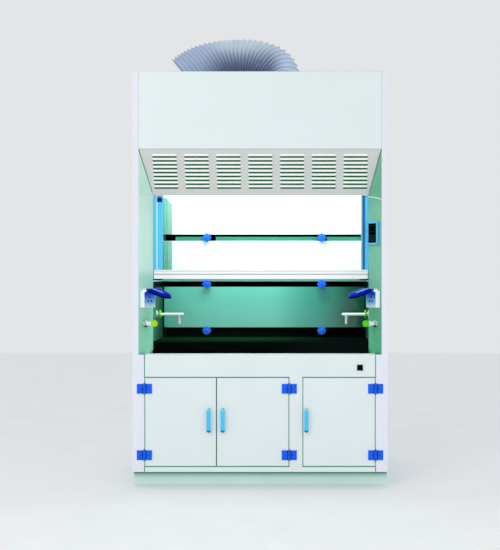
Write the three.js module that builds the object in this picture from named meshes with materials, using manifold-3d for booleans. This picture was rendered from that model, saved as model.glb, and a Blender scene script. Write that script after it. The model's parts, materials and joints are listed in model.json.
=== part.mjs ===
// Ducted laboratory fume hood with a cupboard base, a counterweighted sash and a flexible exhaust duct.
// Millimetres, +Z up, front facing -Y. The origin is on the floor at the centre of the overall outline.
import * as THREE from 'three';
import { mergeVertices } from 'three/addons/utils/BufferGeometryUtils.js';
import Module from 'manifold-3d';

const wasm = await Module();
wasm.setup();

// Overall body
const HALF_WIDTH = 750;
const DEPTH = 850;
const BODY_TOP = 2438;
const HANDLE_REACH = 30;
const COVER_REACH = 70;
const FRONT_Y = -(DEPTH + COVER_REACH) / 2 + COVER_REACH;
const SHEET = 1.5;
const GAP = 0.3;
const ROOF_UNDERSIDE = BODY_TOP - SHEET;
const SHELL_TOP = ROOF_UNDERSIDE - GAP;
const RETURN = 20;

// Base cupboard
const PLINTH_TOP = 84.7;
const CASE_BOTTOM = 85;
const PLINTH_RECESS = 40;
const DOOR_OPENING_BOTTOM = 119;
const DOOR_OPENING_TOP = 639;
const APRON_TOP = 775;
const STILE_INNER = 679;
const MULLION_LEFT = 172;
const MULLION_RIGHT = 249;
const LEDGE_DEPTH = 75;
const DOOR_CLEARANCE = 1.5;
const DOOR_DEPTH = 20;
const MEETING_X = -256;

// Work opening, with its splayed jambs and slanted louver panel
const POST_INNER = 714;
const JAMB_FRONT_X = 714;
const JAMB_REAR_X = 645;
const SPLAY_DEPTH = 115;
const LOUVER_TOP = 1983;
const LOUVER_BOTTOM = 1719;
const LOUVER_GROUPS = 7;
const LOUVER_ROWS = 9;
const LOUVER_GROUP_PITCH = 188;
const LOUVER_SLOT_WIDTH = 142;
const LOUVER_ROW_PITCH = 24;
const LOUVER_SLOT_HEIGHT = 9;

// Work chamber
const WORKTOP_TOP = 834;
const WORKTOP_UNDERSIDE = 815;
const LINER_X = 668;
const LINER_FRONT = 160;
const CHAMBER_TOP = 2150;
const BAFFLE_FRONT = 665;
const BAFFLE_THICKNESS = 6;
const BAFFLE_HALF_WIDTH = 666;
const BAFFLES = { baffle_lower: [897, 1164], baffle_middle: [1200, 1466], baffle_upper: [1509, 2148] };
const STAR_KNOB_X = 377;
const STAR_KNOB_ROWS = { lower: 878, middle: 1182, upper: 1487.5 };
const STAR_KNOB_LOBES = 8;
const STAR_KNOB_RADIUS = 28;
const STAR_LOBE_HEIGHT = 3;
const STUD_RADIUS = 4.5;
const STUD_TIP = 652;

// Sash and its suspension
const SASH_BOTTOM = 1219;
const SASH_BAR_TOP = 1273;
const SASH_TOP = 2112;
const STILE_BOTTOM = 1209;
const SASH_FRONT = 126;
const SASH_BACK = 150;
const GLASS_FRONT = 136;
const GLASS_BACK = 142;
const STILE_IN = 603;
const STILE_OUT = 652;
const CABLE_X = 698;
const CABLE_RADIUS = 1.5;
const PULLEY_PITCH_RADIUS = 28;
const PULLEY_RIM_RADIUS = 31;
const PULLEY_Z = 2398;
const SASH_CABLE_DEPTH = 136;
const PULLEY_DEPTH = SASH_CABLE_DEPTH + PULLEY_PITCH_RADIUS;
const WEIGHT_DEPTH = PULLEY_DEPTH + PULLEY_PITCH_RADIUS;
const WEIGHT_SIZE = [44, 68, 500];
const WEIGHT_TOP = 1800;
const LUG_BOTTOM = 2060;
const LUG_TOP = 2090;

// Door furniture
const HINGE_Z = [184, 574];
const HINGE_HEIGHT = 57;
const HINGE_AXIS_FORWARD = 6.3;
const KNUCKLE_RADIUS = 5.7;
const PIN_RADIUS = 2.5;
const PIN_BORE_RADIUS = 2.9;
const LEAF_NEAR = 7;
const LEAF_FAR = 44;
const WEB_REACH = 9;
const HANDLE_HEIGHT = 139;
const HANDLE_WIDTH = 24;
const HANDLE_Z = 389;

// Services on the jambs
const SOCKET_SIZE = 100;
const SOCKET_DEPTH = 30;
const SOCKET_Z = 1100;
const COVER_LENGTH = 150;
const COVER_WIDTH = 112;
const COVER_DEPTH = 26;
const COVER_WALL = 2;
const COVER_OPEN_ANGLE = 71;
const COVER_AXIS_OUT = 38;
const COVER_AXIS_Z = 1156;
const VALVE_Z = 956;
const VALVE_U = 54;
const TAP_Z = 994;
const TAP_DEPTH = 400;

// Exhaust
const DUCT_X = 130;
const DUCT_DEPTH = 425;
const DUCT_RADIUS = 110;
const DUCT_WALL = 2.5;
const COLLAR_RADIUS = 106;
const COLLAR_HEIGHT = 26;

function finish(color, roughness, metalness = 0) {
  return new THREE.MeshStandardMaterial({ color, roughness, metalness });
}

const WHITE_STEEL = finish(0xdfe9ea, 0.4);
const GREY_STEEL = finish(0xd0d2d0, 0.45);
const MINT_LINER = finish(0x9fd8c6, 0.45);
const TEAL_BAFFLE = finish(0x5faf96, 0.4);
const WHITE_BAFFLE = finish(0xf2fbfa, 0.4);
const BLACK_TOP = finish(0x0a0c0b, 0.25);
const DARK_PLINTH = finish(0x7fa79e, 0.6);
const SASH_WHITE = finish(0xf4f8f8, 0.35);
const SASH_BLUE = finish(0x57b8f2, 0.35);
const CLEAR_GLASS = finish(0xe8fbf8, 0.05);
const HARDWARE_BLUE = finish(0x1f62f0, 0.4);
const HANDLE_BLUE = finish(0x45bdf0, 0.35);
const COVER_BLUE = finish(0x1226b4, 0.2);
const SOCKET_WHITE = finish(0xeef3fb, 0.4);
const VALVE_WHITE = finish(0xeef4f2, 0.35);
const VALVE_GREEN = finish(0x4fd11c, 0.4);
const STEEL = finish(0xa8adaf, 0.35, 0.9);
const CAST_STEEL = finish(0x5c6163, 0.6, 0.8);
const DUCT_GREY = finish(0x9db2c6, 0.5);
const BLACK_PLASTIC = finish(0x15181a, 0.5);

// Depth behind the front plane, as a Y coordinate
const at = (depth) => FRONT_Y + depth;

// A closed three.js geometry as a solid
function toSolid(source) {
  const geometry = source.clone();
  geometry.deleteAttribute('normal');
  geometry.deleteAttribute('uv');
  const merged = mergeVertices(geometry, 1e-4);
  const index = Array.from(merged.index.array);
  const triangles = [];
  for (let i = 0; i < index.length; i += 3) {
    const [a, b, c] = index.slice(i, i + 3);
    if (a !== b && b !== c && c !== a) triangles.push(a, b, c);
  }
  const vertProperties = new Float32Array(merged.attributes.position.array);
  const triVerts = new Uint32Array(triangles);
  return new wasm.Manifold(new wasm.Mesh({ numProp: 3, vertProperties, triVerts }));
}

function toGeometry(solid) {
  const { vertProperties, triVerts } = solid.getMesh();
  const geometry = new THREE.BufferGeometry();
  geometry.setAttribute('position', new THREE.BufferAttribute(new Float32Array(vertProperties), 3));
  geometry.setIndex(new THREE.BufferAttribute(new Uint32Array(triVerts), 1));
  geometry.computeVertexNormals();
  return geometry;
}

const join = (...solids) => solids.reduce((whole, piece) => whole.add(piece));
const cut = (blank, ...tools) => tools.reduce((whole, tool) => whole.subtract(tool), blank);

function box([x0, x1], [y0, y1], [z0, z1]) {
  const geometry = new THREE.BoxGeometry(x1 - x0, y1 - y0, z1 - z0);
  geometry.translate((x0 + x1) / 2, (y0 + y1) / 2, (z0 + z1) / 2);
  return toSolid(geometry);
}

// A box whose Y range is given as depths behind the front plane
const block = (x, [d0, d1], z) => box(x, [at(d0), at(d1)], z);

function outline(points) {
  return new THREE.Shape(points.map(([a, b]) => new THREE.Vector2(a, b)));
}

function extrude(shape, length) {
  return new THREE.ExtrudeGeometry(shape, { depth: length, bevelEnabled: false, curveSegments: 8 });
}

// A plan outline (x, y) raised from z0 to z1
function raise(points, z0, z1) {
  return toSolid(extrude(outline(points), z1 - z0).translate(0, 0, z0));
}

// A side profile (depth, z) run along X from x0 to x1
function runAlongX(points, x0, x1) {
  const geometry = extrude(outline(points.map(([d, z]) => [at(d), z])), x1 - x0);
  const turn = new THREE.Matrix4().makeBasis(
    new THREE.Vector3(0, 1, 0), new THREE.Vector3(0, 0, 1), new THREE.Vector3(1, 0, 0));
  return toSolid(geometry.applyMatrix4(turn).translate(x0, 0, 0));
}

// A round bar or cone about a line through centre along one axis
function round(axis, centre, length, radius, sides = 16, endRadius = radius) {
  const geometry = new THREE.CylinderGeometry(endRadius, radius, length, sides);
  if (axis === 'x') geometry.rotateZ(-Math.PI / 2);
  if (axis === 'z') geometry.rotateX(Math.PI / 2);
  return toSolid(geometry.translate(...centre));
}

function mesh(name, solid, material) {
  const part = new THREE.Mesh(toGeometry(solid), material);
  part.name = name;
  return part;
}

const hood = new THREE.Group();

// A group for each side: parts are drawn for the right-hand side and mirrored for the left
function bothSides(build) {
  for (const [side, sign] of [['right', 1], ['left', -1]]) {
    const group = new THREE.Group();
    group.scale.x = sign;
    build(group, side);
    hood.add(group);
  }
}

// Outer casing

function plinth() {
  const x = HALF_WIDTH - 2;
  const back = DEPTH - 20;
  const ring = cut(
    block([-x, x], [PLINTH_RECESS, back], [0, PLINTH_TOP]),
    block([-x + 2, x - 2], [PLINTH_RECESS + 2, back - 2], [-1, PLINTH_TOP + 1]));
  const foot = cut(
    block([-x, x], [PLINTH_RECESS, back], [0, 2]),
    block([-x + 40, x - 40], [PLINTH_RECESS + 40, back - 40], [-1, 3]));
  hood.add(mesh('plinth', join(ring, foot), DARK_PLINTH));
}

// A folded side: outer skin, front return as wide as the post or stile, and a rear return
function sideShell(group, side) {
  const section = (inner) => [
    [inner, at(0)], [HALF_WIDTH, at(0)], [HALF_WIDTH, at(DEPTH)], [HALF_WIDTH - 30, at(DEPTH)],
    [HALF_WIDTH - 30, at(DEPTH - SHEET)], [HALF_WIDTH - SHEET, at(DEPTH - SHEET)],
    [HALF_WIDTH - SHEET, at(SHEET)], [inner + SHEET, at(SHEET)], [inner + SHEET, at(RETURN)],
    [inner, at(RETURN)],
  ];
  const axle = round('x', [(CABLE_X - 8 + HALF_WIDTH - 1) / 2, at(PULLEY_DEPTH), PULLEY_Z],
    HALF_WIDTH - 1 - (CABLE_X - 8), 5, 12);
  const shell = join(
    raise(section(STILE_INNER), CASE_BOTTOM, APRON_TOP),
    raise(section(POST_INNER + GAP), APRON_TOP, SHELL_TOP),
    axle);
  group.add(mesh(`side_shell_${side}`, shell, WHITE_STEEL));
}

function backPanel() {
  const x = HALF_WIDTH - 30 - GAP;
  let panel = block([-x, x], [DEPTH - SHEET, DEPTH], [CASE_BOTTOM, SHELL_TOP]);
  for (const z of Object.values(STAR_KNOB_ROWS)) {
    for (const sign of [-1, 1]) {
      const length = DEPTH - 1 - STUD_TIP;
      const centre = [sign * STAR_KNOB_X, at(STUD_TIP + length / 2), z];
      panel = panel.add(round('y', centre, length, STUD_RADIUS, 10));
    }
  }
  hood.add(mesh('back_panel', panel, WHITE_STEEL));
}

function roof() {
  const centre = [DUCT_X, at(DUCT_DEPTH)];
  const plate = block([-HALF_WIDTH, HALF_WIDTH], [0, DEPTH], [ROOF_UNDERSIDE, BODY_TOP]);
  const collarMiddle = BODY_TOP + COLLAR_HEIGHT / 2 - 0.5;
  const collar = round('z', [...centre, collarMiddle], COLLAR_HEIGHT + 1, COLLAR_RADIUS, 24);
  const throat = round('z', [...centre, BODY_TOP], 4 * COLLAR_HEIGHT, COLLAR_RADIUS - SHEET, 24);
  hood.add(mesh('top_panel', cut(join(plate, collar), throat), WHITE_STEEL));
}

// A straight-faced sheet between the posts with a return along its top and bottom
function headerPanel() {
  const x = POST_INNER - GAP;
  const sheet = runAlongX([
    [0, LOUVER_TOP + GAP], [RETURN, LOUVER_TOP + GAP], [RETURN, LOUVER_TOP + GAP + SHEET],
    [SHEET, LOUVER_TOP + GAP + SHEET], [SHEET, SHELL_TOP - SHEET], [RETURN, SHELL_TOP - SHEET],
    [RETURN, SHELL_TOP], [0, SHELL_TOP],
  ], -x, x);
  hood.add(mesh('header_panel', sheet, WHITE_STEEL));
}

// The slanted panel is drawn flat, slotted, then leaned back under the header
function louverPanel() {
  const slope = Math.hypot(SPLAY_DEPTH, LOUVER_TOP - LOUVER_BOTTOM);
  const lean = Math.atan2(SPLAY_DEPTH, LOUVER_TOP - LOUVER_BOTTOM);
  const top = JAMB_FRONT_X - 3;
  const bottom = JAMB_REAR_X - 2;
  const shape = outline([[-top, 0], [-bottom, -slope], [bottom, -slope], [top, 0]]);
  let blank = toSolid(extrude(shape, SHEET).rotateX(Math.PI / 2));
  const firstRow = -(slope - (LOUVER_ROWS - 1) * LOUVER_ROW_PITCH) / 2;
  for (let group = 0; group < LOUVER_GROUPS; group += 1) {
    const x = (group - (LOUVER_GROUPS - 1) / 2) * LOUVER_GROUP_PITCH;
    for (let row = 0; row < LOUVER_ROWS; row += 1) {
      const z = firstRow - row * LOUVER_ROW_PITCH;
      blank = blank.subtract(box([x - LOUVER_SLOT_WIDTH / 2, x + LOUVER_SLOT_WIDTH / 2], [-5, 5],
        [z - LOUVER_SLOT_HEIGHT / 2, z + LOUVER_SLOT_HEIGHT / 2]));
    }
  }
  const panel = mesh('louver_panel', blank, GREY_STEEL);
  panel.rotation.x = lean;
  panel.position.set(0, at(SHEET), LOUVER_TOP - 1);
  hood.add(panel);
}

// Base cupboard

function baseCarcass() {
  const x = HALF_WIDTH - SHEET - GAP;
  const floorTop = DOOR_OPENING_BOTTOM - 8;
  const middle = (MULLION_LEFT + MULLION_RIGHT) / 2;
  const back = DEPTH - SHEET - GAP;
  const floor = block([-x, x], [RETURN + 2, back], [floorTop - SHEET, floorTop]);
  const divider = block([middle - SHEET, middle + SHEET], [RETURN + 2, back], [floorTop - 1, APRON_TOP - 5]);
  const legs = [-1, 1].map((sign) => block(
    [sign * 600 - 20, sign * 600 + 20], [RETURN + 40, back - 10], [CASE_BOTTOM, floorTop - 1]));
  hood.add(mesh('base_carcass', join(floor, divider, ...legs), GREY_STEEL));
}

// Apron, mullion and bottom rail pressed as one frame, with a ledge behind the apron's top edge
function frontFrame() {
  const x = STILE_INNER - GAP;
  const plate = cut(
    block([-x, x], [0, SHEET], [CASE_BOTTOM, APRON_TOP]),
    block([-800, MULLION_LEFT], [-1, 5], [DOOR_OPENING_BOTTOM, DOOR_OPENING_TOP]),
    block([MULLION_RIGHT, 800], [-1, 5], [DOOR_OPENING_BOTTOM, DOOR_OPENING_TOP]));
  const strip = (z) => block([-x, x], [0, RETURN], [z, z + SHEET]);
  const uprightZ = [DOOR_OPENING_BOTTOM - 2, DOOR_OPENING_TOP + 2];
  const upright = (left) => block([left, left + SHEET], [0, RETURN], uprightZ);
  const ledge = block([-x, x], [0, LEDGE_DEPTH - GAP], [APRON_TOP - SHEET, APRON_TOP]);
  const frame = join(plate, strip(DOOR_OPENING_BOTTOM - SHEET), strip(DOOR_OPENING_TOP),
    upright(MULLION_LEFT), upright(MULLION_RIGHT - SHEET), ledge);
  hood.add(mesh('front_frame', frame, WHITE_STEEL));
}

function apronVent() {
  const [x, z, half] = [587, 698, 19.5];
  let body = block([x - half, x + half], [-4, -GAP], [z - half, z + half]);
  for (const row of [-1, 0, 1]) {
    body = body.subtract(block([x - 13, x + 13], [-5, -2.5], [z + row * 8 - 2, z + row * 8 + 2]));
  }
  hood.add(mesh('apron_vent', body, BLACK_PLASTIC));
}

function worktop() {
  const sill = runAlongX([
    [LEDGE_DEPTH, APRON_TOP], [LINER_FRONT, WORKTOP_TOP], [LINER_FRONT + 10, WORKTOP_TOP],
    [LINER_FRONT + 10, WORKTOP_UNDERSIDE], [LINER_FRONT - 10, WORKTOP_UNDERSIDE],
    [LEDGE_DEPTH + 24, APRON_TOP],
  ], -JAMB_REAR_X + 2, JAMB_REAR_X - 2);
  const slab = block([-LINER_X + GAP, LINER_X - GAP], [LINER_FRONT, DEPTH - SHEET - GAP],
    [WORKTOP_UNDERSIDE, WORKTOP_TOP]);
  hood.add(mesh('worktop', join(sill, slab), BLACK_TOP));
}

// An X range between a hinge axis and a place beside it
const across = (a, b) => [Math.min(a, b), Math.max(a, b)];

// Doors: shallow trays with the moving hinge leaves welded to their faces
function doorLeaf(hingeX, sign, z) {
  const axis = [hingeX, at(-HINGE_AXIS_FORWARD)];
  const leafX = across(hingeX + sign * LEAF_NEAR, hingeX + sign * LEAF_FAR);
  const third = HINGE_HEIGHT / 3;
  const zMiddle = [z - third / 2 + GAP, z + third / 2 - GAP];
  const plate = block(leafX, [-3.3, 0.5], [z - HINGE_HEIGHT / 2, z + HINGE_HEIGHT / 2]);
  const web = block(across(hingeX, hingeX + sign * WEB_REACH), [-5.3, -1.5], zMiddle);
  const knuckle = round('z', [...axis, z], zMiddle[1] - zMiddle[0], KNUCKLE_RADIUS, 12);
  const bore = round('z', [...axis, z], HINGE_HEIGHT, PIN_BORE_RADIUS, 12);
  return cut(join(plate, web, knuckle), bore);
}

function frameLeaf(name, hingeX, sign, z) {
  const axis = [hingeX, at(-HINGE_AXIS_FORWARD)];
  const leafX = across(hingeX - sign * LEAF_NEAR, hingeX - sign * LEAF_FAR);
  const third = HINGE_HEIGHT / 3;
  const pieces = [block(leafX, [-3.3, -GAP], [z - HINGE_HEIGHT / 2, z + HINGE_HEIGHT / 2])];
  for (const end of [-1, 1]) {
    const centre = z + end * third;
    const zRange = [centre - third / 2, centre + third / 2];
    pieces.push(round('z', [...axis, centre], third, KNUCKLE_RADIUS, 12));
    pieces.push(block(across(hingeX, hingeX - sign * WEB_REACH), [-5.3, -1.5], zRange));
  }
  pieces.push(round('z', [...axis, z], HINGE_HEIGHT, PIN_RADIUS, 12));
  return mesh(name, join(...pieces), HARDWARE_BLUE);
}

function door(name, x0, x1, hingeX, sign) {
  const z = [DOOR_OPENING_BOTTOM + DOOR_CLEARANCE, DOOR_OPENING_TOP - DOOR_CLEARANCE];
  const panel = cut(
    block([x0, x1], [0, DOOR_DEPTH], z),
    block([x0 + SHEET, x1 - SHEET], [SHEET, DOOR_DEPTH + 1], [z[0] + SHEET, z[1] - SHEET]));
  const leaves = HINGE_Z.map((height) => doorLeaf(hingeX, sign, height));
  hood.add(mesh(`door_${name}`, join(panel, ...leaves), WHITE_STEEL));
  HINGE_Z.forEach((height, i) => {
    hood.add(frameLeaf(`hinge_${name}_${['lower', 'upper'][i]}`, hingeX, sign, height));
  });
}

function doorHandle(name, x) {
  const half = HANDLE_HEIGHT / 2;
  const xRange = [x - HANDLE_WIDTH / 2, x + HANDLE_WIDTH / 2];
  const bar = block(xRange, [-HANDLE_REACH, -HANDLE_REACH + 9], [HANDLE_Z - half, HANDLE_Z + half]);
  const foot = (z) => block([x - 8, x + 8], [-HANDLE_REACH + 8, -GAP], [z - 7, z + 7]);
  const grip = join(bar, foot(HANDLE_Z - half + 8), foot(HANDLE_Z + half - 8));
  hood.add(mesh(`door_handle_${name}`, grip, HANDLE_BLUE));
}

function cupboardDoors() {
  door('left', -STILE_INNER + DOOR_CLEARANCE, MEETING_X - DOOR_CLEARANCE, -STILE_INNER, 1);
  door('middle', MEETING_X + DOOR_CLEARANCE, MULLION_LEFT - DOOR_CLEARANCE, MULLION_LEFT, -1);
  door('right', MULLION_RIGHT + DOOR_CLEARANCE, STILE_INNER - DOOR_CLEARANCE, STILE_INNER, -1);
  doorHandle('left', -300);
  doorHandle('middle', -218);
  doorHandle('right', 272);
}

// Work chamber

function liner(group, side) {
  const z = [WORKTOP_UNDERSIDE, CHAMBER_TOP + 2];
  const sheet = block([LINER_X, LINER_X + SHEET], [LINER_FRONT, DEPTH - SHEET - GAP], z);
  const fold = block([LINER_X, LINER_X + 5], [LINER_FRONT, LINER_FRONT + SHEET], z);
  group.add(mesh(`liner_${side}`, join(sheet, fold), MINT_LINER));
}

function chamberCeiling() {
  const x = LINER_X - GAP;
  const sheet = runAlongX([
    [155, 1740], [155 + SHEET, 1740], [155 + SHEET, CHAMBER_TOP], [DEPTH - SHEET - GAP, CHAMBER_TOP],
    [DEPTH - SHEET - GAP, CHAMBER_TOP + SHEET], [155, CHAMBER_TOP + SHEET],
  ], -x, x);
  const lampWindow = block([-560, 560], [310, 390], [CHAMBER_TOP - 5, CHAMBER_TOP + 5]);
  const exhaustSlot = block([-500, 500], [700, 820], [CHAMBER_TOP - 5, CHAMBER_TOP + 5]);
  hood.add(mesh('chamber_ceiling', cut(sheet, lampWindow, exhaustSlot), WHITE_STEEL));
}

function lamp() {
  const base = CHAMBER_TOP + SHEET + GAP;
  hood.add(mesh('lamp', runAlongX([
    [300, base], [400, base], [400, base + 25], [375, base + 60], [325, base + 60], [300, base + 25],
  ], -590, 590), SASH_WHITE));
}

function baffles() {
  for (const [name, [z0, z1]] of Object.entries(BAFFLES)) {
    const material = name === 'baffle_upper' ? WHITE_BAFFLE : TEAL_BAFFLE;
    hood.add(mesh(name, block([-BAFFLE_HALF_WIDTH, BAFFLE_HALF_WIDTH],
      [BAFFLE_FRONT, BAFFLE_FRONT + BAFFLE_THICKNESS], [z0, z1]), material));
  }
}

// An eight-lobed clamping knob on the stud that comes through an air slot
function starKnobs() {
  const points = [];
  const count = STAR_KNOB_LOBES * 4;
  for (let i = 0; i < count; i += 1) {
    const angle = (i / count) * 2 * Math.PI;
    const radius = STAR_KNOB_RADIUS + STAR_LOBE_HEIGHT * Math.cos(STAR_KNOB_LOBES * angle);
    points.push([radius * Math.cos(angle), radius * Math.sin(angle)]);
  }
  const head = toSolid(extrude(outline(points), 16).rotateX(Math.PI / 2));
  const hub = round('y', [0, 4, 0], 12, 12, 16);
  const bore = round('y', [0, 4, 0], 20, STUD_RADIUS + 0.4, 10);
  const knob = cut(join(head, hub), bore);
  for (const [row, z] of Object.entries(STAR_KNOB_ROWS)) {
    for (const [side, sign] of [['left', -1], ['right', 1]]) {
      const part = mesh(`star_knob_${row}_${side}`, knob, HARDWARE_BLUE);
      part.position.set(sign * STAR_KNOB_X, at(BAFFLE_FRONT - 12), z);
      hood.add(part);
    }
  }
}

function tap(group, side) {
  const y = at(TAP_DEPTH);
  const flange = round('x', [LINER_X - GAP - 3, y, TAP_Z], 6, 24, 16);
  const arm = round('x', [(498 + LINER_X - 5) / 2, y, TAP_Z], LINER_X - 5 - 498, 9.5, 12);
  const drop = round('z', [526, y, TAP_Z - 31], 62, 6.5, 12, 8);
  group.add(mesh(`tap_${side}`, join(flange, arm, drop), VALVE_WHITE));
}

// Jambs and the services on them. The jamb frame has x running back along the splay,
// y standing out of the face towards the user, and z up.
const SPLAY_LENGTH = Math.hypot(JAMB_FRONT_X - JAMB_REAR_X, SPLAY_DEPTH);
const SPLAY_ANGLE = Math.atan2(SPLAY_DEPTH, JAMB_REAR_X - JAMB_FRONT_X);

function jamb(group, side) {
  const frame = new THREE.Group();
  frame.position.set(JAMB_FRONT_X - 1, at(1), 0);
  frame.rotation.z = SPLAY_ANGLE;
  group.add(frame);

  const length = SPLAY_LENGTH - 3;
  const face = toSolid(extrude(outline([
    [0, APRON_TOP + GAP], [length, APRON_TOP + GAP], [length, LOUVER_BOTTOM - 3], [0, LOUVER_TOP - 9],
  ]), SHEET).rotateX(Math.PI / 2));
  const rearFold = box([length - SHEET, length], [-14, 0], [APRON_TOP + 70, LOUVER_BOTTOM - 3]);
  frame.add(mesh(`jamb_${side}`, join(face, rearFold), MINT_LINER));
  services(frame, side);
  if (side === 'right') controlPanel(frame);
}

function controlPanel(frame) {
  const body = box([22, 122], [1.8, 16], [1423, 1559]);
  const display = box([32, 112], [14, 20], [1433, 1549]);
  frame.add(mesh('control_panel', cut(body, display), HANDLE_BLUE));
}

function services(frame, side) {
  const face = 1.8;
  const [u0, u1] = [12, 12 + SOCKET_SIZE];
  const middle = (u0 + u1) / 2;
  const half = SOCKET_SIZE / 2;
  const lugZ = [SOCKET_Z + half - 8, COVER_AXIS_Z + 5];
  const lug = (u) => box([u - 3, u + 3], [20, COVER_AXIS_OUT + 5], lugZ);
  const pin = round('x', [middle, COVER_AXIS_OUT, COVER_AXIS_Z], SOCKET_SIZE - 4, PIN_RADIUS, 10);
  const front = SOCKET_DEPTH + face;
  const holes = [[0, 14], [-11, -10], [11, -10]].map(([u, z]) => box(
    [middle + u - 3, middle + u + 3], [front - 8, front + 2], [SOCKET_Z + z - 5, SOCKET_Z + z + 5]));
  const socket = cut(
    box([u0, u1], [face, front], [SOCKET_Z - half, SOCKET_Z + half]), ...holes);
  frame.add(mesh(`socket_${side}`, join(socket, lug(u0 + 3), lug(u1 - 3), pin), SOCKET_WHITE));
  splashCover(frame, side, middle);
  valve(frame, side, face);
}

// A domed lid hinged along its top edge, drawn closed over the socket and then swung open
function splashCover(frame, side, middle) {
  const half = COVER_WIDTH / 2;
  const profile = (inset) => {
    const shape = new THREE.Shape();
    shape.moveTo(-half + inset, -9 - inset);
    shape.lineTo(half - inset, -9 - inset);
    shape.lineTo(half - inset, -COVER_LENGTH + half);
    shape.absarc(0, -COVER_LENGTH + half, half - inset, 0, Math.PI, true);
    return shape;
  };
  const slab = (inset, y0, y1) => {
    const blank = extrude(profile(inset), y1 - y0).rotateX(Math.PI / 2);
    return toSolid(blank.translate(0, y1, 0));
  };
  const rim = -4;
  const top = rim + COVER_DEPTH;
  const shell = cut(slab(0, rim, top), slab(COVER_WALL, rim - 1, top - COVER_WALL));
  const barrelLength = SOCKET_SIZE - 16;
  const barrel = round('x', [0, 0, 0], barrelLength, 5.5, 12);
  const bridge = box([-barrelLength / 2, barrelLength / 2], [1, 5], [-10, -1]);
  const bore = round('x', [0, 0, 0], COVER_WIDTH, PIN_BORE_RADIUS, 10);
  const lugNotches = [-1, 1].map((sign) => box(across(sign * 42.5, sign * 51.5), [rim - 2, 6.5], [-13, -7]));
  const lid = mesh(`splash_cover_${side}`, cut(join(shell, barrel, bridge), bore, ...lugNotches), COVER_BLUE);
  lid.position.set(middle, COVER_AXIS_OUT, COVER_AXIS_Z);
  lid.rotation.x = THREE.MathUtils.degToRad(COVER_OPEN_ANGLE);
  frame.add(lid);
}

function valve(frame, side, face) {
  const centre = (y) => [VALVE_U, y, VALVE_Z];
  const rosette = round('y', centre(face + 3), 6, 24, 20);
  const neck = round('y', centre(face + 12), 16, 10, 16);
  const body = round('y', centre(face + 38), 40, 13, 16, 17);
  const stem = round('y', centre(face + 65), 16, 4, 10);
  frame.add(mesh(`valve_body_${side}`, join(rosette, neck, body, stem), VALVE_WHITE));

  const points = [];
  for (let i = 0; i < 32; i += 1) {
    const angle = (i / 32) * 2 * Math.PI;
    const radius = i % 4 < 2 ? 19.5 : 18;
    points.push([radius * Math.cos(angle), radius * Math.sin(angle)]);
  }
  const grip = toSolid(extrude(outline(points), 26).rotateX(Math.PI / 2).translate(0, 26, 0));
  const bore = round('y', [0, 5, 0], 22, 4.4, 10);
  const knob = mesh(`valve_knob_${side}`, cut(grip, bore), VALVE_GREEN);
  knob.position.set(...centre(face + 60));
  frame.add(knob);
}

// Sash

function sashGlass() {
  const x = STILE_IN + 3;
  hood.add(mesh('sash_glass', block([-x, x], [GLASS_FRONT, GLASS_BACK], [1256, SASH_TOP - 5]), CLEAR_GLASS));
}

function sashHandle() {
  const lip = runAlongX([
    [111, SASH_BOTTOM], [SASH_FRONT - GAP, SASH_BOTTOM],
    [SASH_FRONT - GAP, SASH_BAR_TOP], [113, SASH_BAR_TOP],
    [111, SASH_BAR_TOP - 3], [111, 1249], [114, 1248], [114, 1245], [111, 1244],
  ], -JAMB_REAR_X + 4, JAMB_REAR_X - 4);
  const x = STILE_IN - GAP;
  const channel = cut(
    block([-x, x], [SASH_FRONT - 1, SASH_BACK], [SASH_BOTTOM, SASH_BAR_TOP]),
    block([-x - 1, x + 1], [GLASS_FRONT - GAP, GLASS_BACK + GAP], [1255, SASH_BAR_TOP + 1]));
  hood.add(mesh('sash_handle', join(lip, channel), SASH_WHITE));
}

function sashStile(group, side) {
  const slotX = [STILE_IN - 1, STILE_IN + 3 + GAP];
  const slotDepth = [GLASS_FRONT - GAP, GLASS_BACK + GAP];
  const z = [STILE_BOTTOM - 1, SASH_TOP + 1];
  const body = cut(
    block([STILE_IN, STILE_OUT], [SASH_FRONT, SASH_BACK], [STILE_BOTTOM, SASH_TOP]),
    block(slotX, slotDepth, z),
    block([STILE_IN + 24, STILE_IN + 29], [SASH_FRONT - 1, SASH_FRONT + 4], z));
  const lug = block([STILE_OUT - 1, CABLE_X + 8], [SASH_FRONT + 2, SASH_BACK - 4], [LUG_BOTTOM, LUG_TOP]);
  group.add(mesh(`sash_stile_${side}`, join(body, lug), SASH_BLUE));
}

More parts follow.
